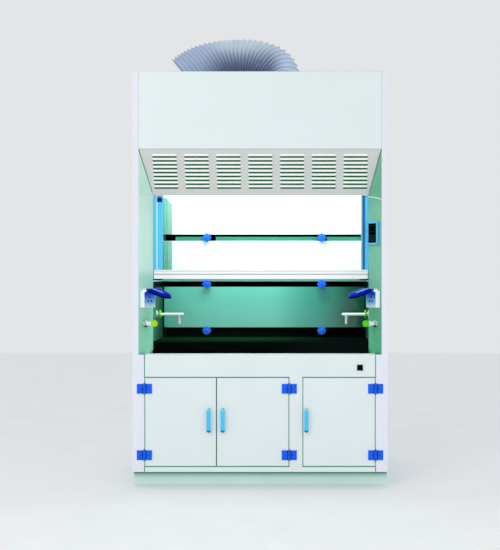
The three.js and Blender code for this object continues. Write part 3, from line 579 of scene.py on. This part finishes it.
def seams(m):
    """Painted shade: dark green strips in and across the door gaps, along the door edges and beside the
    apron, and dark grey lines beside the header.
    """
    slack, gap = 0.0001, 0.0015
    skin = (FRONT - 0.0003, FRONT + 0.0012)
    depth = (FRONT + 0.0003, FRONT + 0.0035)
    sill, head = 0.1205, 0.6375
    gap_shade_strips = []
    for x0, x1 in ((-0.679, 0.172), (0.249, 0.679)):
        for z0, z1 in ((sill - gap, sill), (head, head + gap)):
            gap_shade_strips.append(((x0 + slack, depth[0], z0 + slack), (x1 - slack, depth[1], z1 - slack)))
        for z0, z1 in ((0.6392, 0.6438), (0.1142, 0.1188)):
            gap_shade_strips.append(((x0 - 0.002, skin[0], z0), (x1 + 0.002, skin[1], z1)))
        for x in (x0 + gap / 2, x1 - gap / 2):
            gap_shade_strips.append(((x - gap / 2 + slack, depth[0], sill), (x + gap / 2 - slack, depth[1], head)))
    box_piece("door_gap_shade", gap_shade_strips, m["gap_shade"])
    low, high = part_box("door_left")
    front, back, narrow, wide = FRONT - 0.0003, FRONT + 0.0008, 0.0018, 0.0034
    z0, z1 = low.z + slack, high.z - slack
    for name, x0, x1 in (("left", -0.6775, -0.2575), ("middle", -0.2545, 0.1705), ("right", 0.2505, 0.6775)):
        left_edge = x0 + (narrow if name == "middle" else wide)
        right_edge = x1 - (narrow if name == "left" else wide)
        edges = (((x0 + slack, front, z0), (left_edge, back, z1)),
                 ((right_edge, front, z0), (x1 - slack, back, z1)))
        box_piece(f"door_edge_shade_{name}", edges, m["gap_shade"], f"{name}_door")
    frame_low, frame_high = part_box("front_frame")
    joints = [((x - 0.0025, skin[0], z0), (x + 0.0025, skin[1], z1)) for x in (-0.6785, 0.6785)
              for z0, z1 in ((0.6440, frame_high.z - 0.001), (frame_low.z + 0.001, 0.1140))]
    box_piece("apron_joint_shade", joints, m["gap_shade"], soft=0.0003)
    # The header's joint lines are dark grey painted shade.
    header = [((x - 0.0012, FRONT + 0.0002, 1.984), (x + 0.0012, FRONT + 0.0016, BODY_TOP - 0.006))
              for x in (-0.7139, 0.7139)]
    box_piece("header_joint_shade", header, m["groove"], soft=0.0002)


def jamb_beads(m):
    """A pale bead that rises across each jamb at the top of its sash guide cover."""
    count = 12
    section = ((0.0017, -0.0030), (0.0030, -0.0020), (0.0030, 0.0020), (0.0017, 0.0030))
    for side, sign in SIDES:
        place = jamb_matrix(sign)
        bm = bmesh.new()
        rows = []
        for i in range(count + 1):
            t = i / count
            u = 0.0015 + 0.131 * t
            z = 1.686 + 0.026 * t ** 0.7
            rows.append([bm.verts.new(place @ Vector((u, out, z + dz))) for out, dz in section])
        for a, b in zip(rows, rows[1:]):
            for k in range(4):
                j = (k + 1) % 4
                bm.faces.new((a[k], b[k], b[j], a[j]))
        bm.faces.new(rows[0])
        bm.faces.new(rows[-1][::-1])
        new_object(f"jamb_bead_{side}", bm, m["bead"], smooth=False)


def chamber_trim(m):
    """Painted shade in the chamber: a dark sheet at the back of the plenum, green bands in the upper slots,
    dark strips in the rear corners, and a green lip and strips on the pale baffles.
    """
    # A near-black sheet at the back of the plenum stands for its shade.
    lining = ((-0.715, BACK - 0.006, WORKTOP + 0.0003), (0.715, BACK - 0.0035, 2.148))
    box_piece("plenum_shade_sheet", [lining], m["plenum"])
    # Green bands behind the upper slots stand for the shaded wall seen through them.
    bands = [((x0, BAFFLE_Y + 0.0075, 1.440), (x1, BAFFLE_Y + 0.0095, 1.4935))
             for x0, x1 in ((-0.585, -0.36), (-0.32, 0.35), (0.41, 0.655))]
    box_piece("slot_band_upper", bands, m["green_band"], soft=0.0005)
    # Dark strips of painted shade in the rear corners, where the liners meet the lower baffle.
    corner_shades = [((x0, BAFFLE_Y - 0.0040, WORKTOP + 0.001), (x1, BAFFLE_Y - 0.0003, 1.20))
             for x0, x1 in ((-0.6678, -0.6585), (0.6585, 0.6678))]
    box_piece("corner_shade_strips", corner_shades, m["dark"], soft=0.0008)
    low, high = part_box("baffle_middle")
    # A lip of green painted shade along the middle baffle's lower edge.
    lip = ((low.x + 0.002, low.y - 0.0015, low.z - 0.0002), (high.x - 0.002, low.y + 0.001, low.z + 0.0165))
    box_piece("slot_lip_middle", [lip], m["guide"], soft=0.0006)
    corner_strips(m)


def corner_strips(m):
    """Cover strips in the left corner of the two pale baffles, each with a slanted top, painted in two greens
    of shade.
    """
    split_low, split_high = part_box("baffle_middle")[1].z - 0.001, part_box("baffle_upper")[0].z + 0.001
    strips = (("guide", -0.6655, -0.6350, 1.757, 1.742), ("guide_pale", -0.6345, -0.6070, 1.736, 1.706))
    for paint, x0, x1, top0, top1 in strips:
        bm = bmesh.new()
        for corners in (((x0, 1.217), (x1, 1.217), (x1, split_low), (x0, split_low)),
                        ((x0, split_high), (x1, split_high), (x1, top1), (x0, top0))):
            front = [bm.verts.new((x, BAFFLE_Y - 0.0020, z)) for x, z in corners]
            back = [bm.verts.new((x, BAFFLE_Y + 0.0010, z)) for x, z in corners]
            bm.faces.new(front)
            bm.faces.new(back[::-1])
            for i in range(4):
                j = (i + 1) % 4
                bm.faces.new((front[i], back[i], back[j], front[j]))
        strip = new_object(f"corner_strip_{paint}", bm, m[paint], smooth=False)
        bevel(strip, 0.0006)


# ---------------------------------------------------------------- doors

def screw(bm, matrix, radius=0.0032):
    """A low domed screw head."""
    profile = [(0, 0.0016), (radius * 0.55, 0.0015), (radius * 0.95, 0.0007), (radius, 0), (0, -0.0004)]
    add_revolved(bm, profile, matrix, 16)


def hinges(m):
    """Two hinges a door, on the side that the door hangs from."""
    inset = 0.0057
    for door, sign in (("left", 1), ("middle", -1), ("right", -1)):
        for level, z in (("lower", 0.184), ("upper", 0.574)):
            node = f"hinge_{door}_{level}"
            refine(node, m["hinge"], 0.0008, 2, 0.002)
            low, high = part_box(node)
            x = (low.x + inset) if sign < 0 else (high.x - inset)
            hinge_trim(m, door, level, sign, x, z)


def hinge_trim(m, door, level, sign, x, z):
    """Screws and dark slots on both leaves, the door's cover plate and knuckle, and the pin's two ends."""
    label, door_body, half = f"{door}_{level}", f"{door}_door", 0.0286
    leaves = (("frame", -sign, "cabinet"), ("door", sign, door_body))
    for leaf, direction, body in leaves:
        bm = bmesh.new()
        for out, up in ((0.034, 0.018), (0.022, 0), (0.034, -0.018)):
            screw(bm, frame_to((x + direction * out, FRONT - 0.0033, z + up), (0, -1, 0)), 0.0042)
        new_object(f"hinge_screws_{leaf}_{label}", bm, m["screw"], body)
    x0, x1 = sorted((x + sign * 0.0075, x + sign * 0.0445))
    plate = ((x0, FRONT - 0.0042, z - half), (x1, FRONT - 0.0032, z + half))
    box_piece(f"hinge_cover_{label}", [plate], m["hinge"], door_body, soft=0.0004)
    pin_y, bore, r = FRONT - 0.0063, 0.0032, 0.0061
    sleeve = [(bore, -0.0088), (r, -0.0086), (r, 0.0086), (bore, 0.0088), (bore, -0.0088)]
    axis = frame_to((x, pin_y, z), (0, 0, 1), (1, 0, 0))
    turned_piece(f"hinge_knuckle_{label}", sleeve, axis, m["hinge"], door_body, 24, 35)
    bm = bmesh.new()
    for end in (-1, 1):
        tip = frame_to((x, pin_y, z + end * half), (0, 0, end), (1, 0, 0))
        add_revolved(bm, [(0, 0), (0.0040, 0), (0.0040, 0.0040), (0.0028, 0.0052), (0, 0.0052)], tip, 20)
    tips = new_object(f"hinge_pin_tips_{label}", bm, m["dark"])
    sharpen(tips)
    for leaf, direction, body in leaves:
        slots = []
        for step in range(-2, 3):
            middle, centre = x + direction * 0.0100, z + step * 0.0112
            slots.append(((middle - 0.0033, FRONT - 0.0052, centre - 0.0034),
                          (middle + 0.0033, FRONT - 0.0030, centre + 0.0034)))
        box_piece(f"hinge_slots_{leaf}_{label}", slots, m["dark"], body)


def door_handles(m):
    """Bowed pulls: a rounded grip that thins at its ends, on two round feet."""
    rings, section, thick, bow = 28, 20, 0.0045, 0.0015
    foot_profile = [(0, 0), (0.0088, 0), (0.0085, 0.002), (0.0062, 0.005), (0.0058, 0.018), (0.0075, 0.0235),
                    (0, 0.0235)]
    for name in ("left", "middle", "right"):
        node, body = f"door_handle_{name}", f"{name}_door"
        low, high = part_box(node)
        x, middle = (low.x + high.x) / 2, (high.z + low.z) / 2
        half, wide = (high.z - low.z) / 2, (high.x - low.x) / 2
        bm = bmesh.new()
        grid = []
        for i in range(rings + 1):
            t = i / rings * 2 - 1
            end = min(1.0, (1 - abs(t)) / 0.06)
            swell = max(0.15, math.sin(end * math.pi / 2))
            ring = []
            for k in range(section):
                angle = 2 * math.pi * k / section
                px = math.copysign(abs(math.cos(angle)) ** 0.7, math.cos(angle)) * wide * swell
                py = math.copysign(abs(math.sin(angle)) ** 0.8, math.sin(angle)) * thick * swell
                ring.append(bm.verts.new((x + px, low.y + 0.0048 + py + bow * t * t, middle + t * half)))
            grid.append(ring)
        bridge(bm, grid)
        bm.faces.new(grid[0][::-1])
        bm.faces.new(grid[-1])
        grip = new_object(f"handle_grip_{name}", bm, m["handle"], body)
        sharpen(grip, 60)
        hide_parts(node)
        bm = bmesh.new()
        for end in (-1, 1):
            foot = frame_to((x, high.y, middle + end * (half - 0.008)), (0, -1, 0))
            add_revolved(bm, foot_profile, foot, 24)
        feet = new_object(f"handle_feet_{name}", bm, m["handle_edge"], body)
        sharpen(feet, 50)


# ---------------------------------------------------------------- sash

def sash(m):
    """The glass, its lower bar, the two coloured stiles, and the weights and wheels that carry them."""
    refine("sash_glass", m["glass"], 0.0008)
    refine("sash_handle", m["bar"], 0.0009, 3, 0.0028)
    low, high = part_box("sash_handle")
    middle = low.z + 0.0275
    # Painted shade: a dark strip in the bar's groove, and a dark line near the top of the bar for the shadow
    # gap under the glass.
    grooves = (((low.x + 0.001, low.y + 0.0012, middle - 0.0014),
                (high.x - 0.001, low.y + 0.0029, middle + 0.0014)),
               ((low.x + 0.002, low.y - 0.0002, high.z - 0.0085),
                (high.x - 0.002, low.y + 0.0010, high.z - 0.0065)))
    box_piece("sash_bar_groove_shade", grooves, m["groove"], "sash")
    # Bands of painted light and shade on the stiles: a highlight and sky blue on the left, shaded grey-green
    # and royal blue on the right.
    bands = {"left": ((0.0178, 0.0252, "sash_highlight"), (-0.0120, 0.0174, "sash_sky")),
             "right": ((0.0010, 0.0085, "guide_pale"), (0.0088, 0.0215, "sash_royal"))}
    for side, sign in SIDES:
        refine(f"sash_stile_{side}", m["sash_blue"], 0.0012, 2, 0.003)
        low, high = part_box(f"sash_stile_{side}")
        inner = min(abs(low.x), abs(high.x))
        for near, far, paint in bands[side]:
            x0, x1 = sorted((sign * (inner + near), sign * (inner + far)))
            inlay = ((x0, low.y - 0.0006, low.z + 0.066), (x1, low.y + 0.0037, high.z - 0.012))
            box_piece(f"sash_{paint}_{side}", [inlay], m[paint], "sash", soft=0.0004)
        if side == "left":
            clip = ((-inner - 0.0210, low.y - 0.0016, 1.680), (-inner + 0.0110, low.y - 0.0004, 1.708))
            box_piece("sash_clip_left", [clip], m["sash_deep"], "sash", soft=0.0004)
        x0, x1 = sorted((sign * (inner - 0.0115), sign * (inner + 0.0485)))
        foot = ((x0, low.y - 0.0008, low.z + 0.0004), (x1, low.y + 0.0030, low.z + 0.0098))
        box_piece(f"sash_foot_{side}", [foot], m["sash_deep"], "sash", soft=0.0005)
    for side, _ in SIDES:
        refine(f"counterweight_{side}", m["cast"], 0.002)
        refine(f"pulley_{side}", m["steel"], 0.0006)


def rope(name, points, material, body=None):
    around, radius = 12, 0.0015
    turns = [2 * math.pi * k / around for k in range(around)]
    bm = bmesh.new()
    rings = []
    for i, point in enumerate(points):
        along = (points[min(i + 1, len(points) - 1)] - points[max(i - 1, 0)]).normalized()
        side = Vector((1, 0, 0))
        up = along.cross(side)
        rings.append([bm.verts.new(point + (side * math.cos(t) + up * math.sin(t)) * radius) for t in turns])
    bridge(bm, rings)
    bm.faces.new(rings[0])
    bm.faces.new(rings[-1])
    return new_object(name, bm, material, body)


def sash_cables(m):
    """Each cable in three lengths: the turn over the wheel stays with the cabinet, and the two drops run down
    to the sash and to the weight.
    """
    pitch, wheel_z, lug_top, steps = 0.028, 2.398, 2.0903, 24
    hub_y = FRONT + 0.136 + pitch
    for side, sign in SIDES:
        x = sign * 0.698
        weight_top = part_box(f"sash_cable_{side}")[0].z
        angles = [math.pi * k / steps for k in range(steps + 1)]
        turn = [Vector((x, hub_y - pitch * math.cos(a), wheel_z + pitch * math.sin(a))) for a in angles]
        over = rope(f"sash_cable_turn_{side}", turn, m["steel"], "cabinet")
        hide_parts(f"sash_cable_{side}")
        for name, body, y, z in (("front", "sash", hub_y - pitch, lug_top),
                                 ("rear", f"weight_{side}", hub_y + pitch, weight_top)):
            drop = [Vector((x, y, z + (wheel_z - z) * k / steps)) for k in range(steps + 1)]
            piece = rope(f"sash_cable_{name}_{side}", drop, m["steel"])
            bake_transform(piece)


# ---------------------------------------------------------------- chamber

def star_knobs(m):
    """Eight-lobed clamping knobs with a rounded rim, a raised hub and a blind bore for their stud."""
    depth, lobing, hub, bore = 0.0255, 0.115, 0.012, 0.0049
    for row in ("lower", "middle", "upper"):
        for side, sign in SIDES:
            node = f"star_knob_{row}_{side}"
            low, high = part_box(node)
            z = (low.z + high.z) / 2
            face = frame_to((sign * 0.377, low.y, z), (0, -1, 0), (0, 0, 1))
            place = face @ Matrix.Translation((0, 0, -depth))
            bore_end = low.y + depth - (FRONT + 0.647)
            profile = [(0, bore_end), (bore, bore_end), (bore, 0.001), (0.010, 0.001), (0.0115, 0.003),
                       (0.0115, 0.009), (0.023, 0.0098), (0.0270, 0.0112), (0.0277, 0.014), (0.0277, 0.020),
                       (0.0266, 0.0232), (0.0225, 0.0246), (0.0105, 0.0240), (0.0095, 0.0252), (0, 0.0253)]
            body = f"clamp_{row}_{side}"
            knob = turned_piece(f"star_grip_{row}_{side}", profile, place, m["star"], body, 96, lobes=8,
                                swell=lambda radius: lobing * radius if radius > hub else 0)
            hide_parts(node)


def taps(m):
    """Side outlets: wall flange with a coloured ring, a round arm and a ribbed hose nozzle."""
    length = LINER_X - 0.498
    arm_profile = [(0, 0), (0.0238, 0), (0.0238, 0.003), (0.019, 0.006), (0.0125, 0.0075), (0.0112, 0.012),
                   (0.0095, 0.016), (0.0093, length - 0.004), (0.0080, length - 0.0008), (0, length)]
    disc_profile = [(0.0100, 0), (0.0275, 0), (0.0290, 0.002), (0.0290, 0.006), (0.0270, 0.008),
                    (0.0100, 0.008), (0.0100, 0)]
    nozzle_profile = [(0, 0.004), (0.0105, 0.006), (0.0108, 0.017), (0.0094, 0.020)]
    for ridge in range(4):
        start = 0.021 + ridge * 0.010
        nozzle_profile += [(0.0080, start), (0.0092, start + 0.0072), (0.0076, start + 0.0085)]
    nozzle_profile += [(0.0060, 0.0612), (0, 0.0618)]
    for side, sign in SIDES:
        low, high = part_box(f"tap_{side}")
        y, z = (low.y + high.y) / 2, high.z - 0.024
        inward = (-sign, 0, 0)
        arm = frame_to((sign * (LINER_X - 0.0003), y, z), inward)
        main = turned_piece(f"tap_arm_{side}", arm_profile, arm, m["valve"])
        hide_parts(f"tap_{side}")
        down = frame_to((sign * 0.526, y, z), (0, 0, -1), (1, 0, 0))
        turned_piece(f"tap_nozzle_{side}", nozzle_profile, down, m["valve"], steps=24, crisp=40)
        disc = frame_to((sign * 0.650, y, z), inward)
        turned_piece(f"tap_disc_{side}", disc_profile, disc, m["green"], steps=40)


# ---------------------------------------------------------------- services

def sockets(m):
    """A three-pin socket on each jamb, with a face painted pale at the bottom and deep blue at the top as
    shade, two screws and its splash cover.
    """
    middle, face, z0, pin = 0.062, 0.0318, 1.100, (0.0050, 0.0060)
    for side, sign in SIDES:
        refine(f"socket_{side}", m["socket"], 0.0022, 3, 0.006)
        place = jamb_matrix(sign)
        contacts = [((middle + u - pin[0], face + 0.0002, z0 + z - pin[1]),
                     (middle + u + pin[0], face + 0.0009, z0 + z + pin[1]))
                    for u, z in ((0, 0.010), (-0.014, -0.012), (0.014, -0.012))]
        box_piece(f"socket_contacts_{side}", contacts, m["dark"], turn=place)
        # The face plate carries the painted shade.
        plate = ((0.0150, face - 0.0008, 1.0535), (0.1092, face + 0.0005, 1.1465))
        box_piece(f"socket_face_{side}", [plate], m["socket_plate"], turn=place)
        bm = bmesh.new()
        for z in (-0.040, 0.040):
            screw(bm, place @ frame_to((middle, face + 0.0005, z0 + z), (0, 1, 0)), 0.003)
        new_object(f"socket_screws_{side}", bm, m["steel"])
        cover(m, side, place)


def cover_ring(hinge, t):
    """One ring of the lid's dome, from its rim (t = 0) to its crown (t = 1), rounder at the free end."""
    half, length, depth, rim, top, around = 0.0556, 0.1495, 0.0216, -0.0038, 0.0105, 112
    span = length - top
    y = rim + (depth - rim) * math.sin(t * math.pi / 2) ** 0.8
    centre_z = -top - span * 0.42
    if t == 1:
        return [hinge @ Vector((0, y, centre_z))]
    scale = math.cos(t * math.pi / 2) ** 0.55
    ring = []
    for i in range(around):
        angle = 2 * math.pi * i / around
        cx, sz = math.cos(angle), math.sin(angle)
        px = math.copysign(abs(cx) ** (0.75 if sz < 0 else 0.45), cx) * half * (1 - 0.10 * max(0, -sz))
        pz = math.copysign(abs(sz) ** (0.95 if sz < 0 else 0.45), sz)
        z = -top - span / 2 + pz * span / 2
        ring.append(hinge @ Vector((px * scale, y, centre_z + (z - centre_z) * scale)))
    return ring


def cover(m, side, place):
    """A lid crowned both ways and open underneath, with a painted highlight streak, painted shade along its
    rim and a hinge barrel.
    """
    hinge = place @ Matrix.Translation((0.062, 0.038, 1.156)) @ Matrix.Rotation(math.radians(71), 4, "X")
    rings = 26
    bm = bmesh.new()
    dome = [[bm.verts.new(point) for point in cover_ring(hinge, r / rings)] for r in range(rings + 1)]
    for a, b in zip(dome, dome[1:]):
        for i in range(len(a)):
            j = (i + 1) % len(a)
            bm.faces.new(list(dict.fromkeys([a[i], a[j], b[j % len(b)], b[i % len(b)]])))
    to_local = hinge.inverted()
    # Faces along a curved streak take the painted highlight, and faces near the rim the painted shade.
    for face in bm.faces:
        local = to_local @ face.calc_center_median()
        along = (-local.z - 0.030) / 0.085
        if 0 < along < 1 and abs(local.x + 0.034 - 0.014 * along) < 0.0070 * math.sin(math.pi * along) ** 0.6:
            face.material_index = 1
        elif local.y < 0.0040:
            face.material_index = 2
    lid = new_object(f"cover_dome_{side}", bm, m["cover"], f"cover_{side}")
    lid.data.materials.append(m["cover_highlight"])
    lid.data.materials.append(m["cover_rim_shade"])
    solid = lid.modifiers.new("wall", "SOLIDIFY")
    solid.thickness = 0.0018
    solid.offset = -1
    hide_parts(f"splash_cover_{side}")
    bm = bmesh.new()
    axis = hinge @ frame_to((-0.042, 0, 0), (1, 0, 0))
    tube = [(0.0029, 0), (0.0054, 0.0004), (0.0054, 0.0836), (0.0029, 0.084), (0.0029, 0)]
    add_revolved(bm, tube, axis, 24)
    add_box(bm, (-0.041, 0.0012, -0.0135), (0.041, 0.0044, -0.0035), hinge)
    barrel = new_object(f"cover_barrel_{side}", bm, m["cover"], f"cover_{side}")
    sharpen(barrel, 50)


def valves(m):
    """A bonnet, rosette and fluted knob on each jamb: the knob's cap and ring turn with it."""
    bonnet = [(0, 0.0165), (0.0100, 0.0165), (0.0128, 0.0185), (0.0135, 0.028), (0.0150, 0.044),
              (0.0168, 0.056), (0.0168, 0.0580), (0.0040, 0.0582), (0.0040, 0.073), (0, 0.073)]
    rosette = [(0, 0), (0.0238, 0), (0.0240, 0.002), (0.0225, 0.005), (0.0150, 0.0062), (0.0105, 0.009),
               (0.0098, 0.0163), (0, 0.0163)]
    bore, flute = 0.0049, 0.0005
    grip = [(bore, 0.0004), (0.0175, 0.0004), (0.0188, 0.002), (0.0190, 0.018), (0.0180, 0.0235),
            (0.0150, 0.0258), (0.0140, 0.0258), (0.0138, 0.0240), (0, 0.0240), (0, 0.0180), (bore, 0.0180),
            (bore, 0.0004)]
    cap = [(0, 0.0243), (0.0132, 0.0243), (0.0132, 0.0252), (0.0118, 0.0262), (0, 0.0264)]
    for side, sign in SIDES:
        tint = "yellow" if side == "left" else "green"
        turning = f"tap_knob_{side}"
        axis = jamb_matrix(sign) @ frame_to((0.054, 0.0018, 0.956), (0, 1, 0))
        knob_axis = axis @ Matrix.Translation((0, 0, 0.0600))
        body = turned_piece(f"valve_bonnet_{side}", bonnet, axis, m["valve"], steps=40)
        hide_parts(f"valve_body_{side}")
        turned_piece(f"valve_rosette_{side}", rosette, axis, m["chrome"], steps=40)
        knob = turned_piece(f"knob_grip_{side}", grip, knob_axis, m[tint], turning, 96,
                            lobes=16, swell=lambda radius: flute)
        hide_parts(f"valve_knob_{side}")
        turned_piece(f"knob_cap_{side}", cap, knob_axis, m[f"{tint}_cap"], turning, 40)
        bm = bmesh.new()
        torus(bm, knob_axis @ Matrix.Translation((0, 0, 0.0262)), 0.0082, 0.0011, 40, 8)
        new_object(f"knob_ring_{side}", bm, m["ring"], turning)


def control_panel(m):
    """A framed panel with a dark display: nine plain keys and two dividing lines."""
    refine("control_panel", m["panel_frame"], 0.0022, 3, 0.004)
    place = jamb_matrix(1)
    display = ((0.0325, 0.0142, 1.4335), (0.1115, 0.0150, 1.5485))
    box_piece("control_display", [display], m["display"], turn=place, soft=0.0003)
    marks = []
    for row in range(3):
        for column in range(3):
            u, z = 0.044 + column * 0.024, 1.447 + row * 0.013
            marks.append(((u, 0.0151, z), (u + 0.012, 0.0156, z + 0.005)))
    for z in (1.500, 1.536):
        marks.append(((0.042, 0.0151, z), (0.102, 0.0155, z + 0.0008)))
    box_piece("control_buttons", marks, m["display_mark"], turn=place)


def apron_vent(m):
    """A small slotted block on the apron, with a pale raised border."""
    refine("apron_vent", m["dark"], 0.0006, 2, 0.003)
    low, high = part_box("apron_vent")
    rim, y0, y1 = 0.0022, low.y - 0.0006, low.y + 0.0012
    border = (((low.x, y0, low.z), (low.x + rim, y1, high.z)),
              ((high.x - rim, y0, low.z), (high.x, y1, high.z)),
              ((low.x + rim, y0, low.z), (high.x - rim, y1, low.z + rim)),
              ((low.x + rim, y0, high.z - rim), (high.x - rim, y1, high.z)))
    box_piece("apron_vent_border", border, m["white"], soft=0.0004)


# ---------------------------------------------------------------- exhaust duct

def duct_point(t):
    """The hose's centre line, from the roof collar (0) to its free end (1)."""
    def bezier(a, b, c, d, u):
        v = 1 - u
        return a * v ** 3 + b * 3 * v * v * u + c * 3 * v * u * u + d * u ** 3

    def p(x, z):
        return Vector((x, DUCT_Y, z))

    start, straight, apex = BODY_TOP + 0.0003, 0.030, 2.625
    bend = start + straight
    straight_end, crown = 0.04, 0.44
    first = (p(DUCT_X, bend), p(DUCT_X, bend + 0.112), p(0.010, apex), p(-0.140, apex))
    second = (p(-0.140, apex), p(-0.290, apex), p(-0.425, apex - 0.035), p(-0.500, 2.522))
    if t < straight_end:
        return p(DUCT_X, start + straight * t / straight_end)
    if t < crown:
        return bezier(*first, (t - straight_end) / 0.40)
    return bezier(*second, (t - crown) / 0.56)


def evenly_spaced(count):
    """Points along the hose's centre line, the same length of hose apart."""
    fine = 600
    samples = [duct_point(i / fine) for i in range(fine + 1)]
    lengths = [0.0]
    for a, b in zip(samples, samples[1:]):
        lengths.append(lengths[-1] + (b - a).length)
    points = []
    k = 0
    for i in range(count + 1):
        want = lengths[-1] * i / count
        while k < fine - 1 and lengths[k + 1] < want:
            k += 1
        u = (want - lengths[k]) / max(1e-9, lengths[k + 1] - lengths[k])
        points.append(samples[k].lerp(samples[k + 1], u))
    return points


def hose_ring(points, i, radius, around, lean):
    """One ring round the hose at step i, as (point, outward, along); the lean fans rings apart."""
    last = len(points) - 1
    step = (points[1] - points[0]).length
    shift = lean / step * math.sin(2 * math.pi * (i / last - 0.5))
    ring = []
    for k in range(around):
        angle = 2 * math.pi * k / around
        place = min(max(i + shift * math.sin(angle), 0.0), last - 1e-6)
        j = int(place)
        tangent = (points[min(j + 2, last)] - points[max(j - 1, 0)]).normalized()
        up = tangent.cross(Vector((0, 1, 0)))
        outward = Vector((0, math.cos(angle), 0)) + up * -math.sin(angle)
        ring.append((points[j].lerp(points[j + 1], place - j) + outward * radius, outward, tangent))
    return ring


def exhaust_duct(m):
    """A thin film pulled in between the turns of its wire, with the wires standing proud."""
    ribs, per_rib, around, lean = 31, 8, 64, 0.045
    outer, pinch, film_wall, wire = 0.1084, 0.0085, 0.0016, 0.0016
    points = evenly_spaced(ribs * per_rib)
    skins = [[], []]
    for i in range(len(points)):
        radius = outer - pinch * math.sin(math.pi * (i % per_rib) / per_rib) ** 0.7
        for skin, inset in zip(skins, (0.0, film_wall)):
            skin.append(hose_ring(points, i, radius - inset, around, lean))
    bm = bmesh.new()
    outside, inside = ([[bm.verts.new(point) for point, _, _ in ring] for ring in skin] for skin in skins)
    bridge(bm, outside)
    bridge(bm, inside)
    bridge(bm, [outside[0], inside[0]])
    bridge(bm, [outside[-1], inside[-1]])
    film = new_object("duct_film", bm, m["duct"])
    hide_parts("exhaust_duct")
    bm = bmesh.new()
    turns = [2 * math.pi * k / 8 for k in range(8)]
    for rib in range(ribs + 1):
        section = []
        for point, outward, along in hose_ring(points, rib * per_rib, outer - 0.0002, around, lean):
            section.append([bm.verts.new(point + (outward * math.cos(t) + along * math.sin(t)) * wire)
                            for t in turns])
        bridge(bm, section, closed=True)
    new_object("duct_wires", bm, m["duct_rib"])
    inner, outer = 0.1090 - 0.0012, 0.1090 + 0.0008
    clamp = [(inner, 0), (outer, 0.0005), (outer, 0.0125), (inner, 0.013), (inner, 0)]
    collar = Matrix.Translation((DUCT_X, DUCT_Y, BODY_TOP + 0.008))
    turned_piece("duct_clamp", clamp, collar, m["steel"], steps=64)


make_camera()
make_studio()
paints = make_materials()
casing(paints)
louvers(paints)
seams(paints)
jamb_beads(paints)
chamber_trim(paints)
hinges(paints)
door_handles(paints)
sash(paints)
sash_cables(paints)
star_knobs(paints)
taps(paints)
sockets(paints)
valves(paints)
control_panel(paints)
apron_vent(paints)
exhaust_duct(paints)
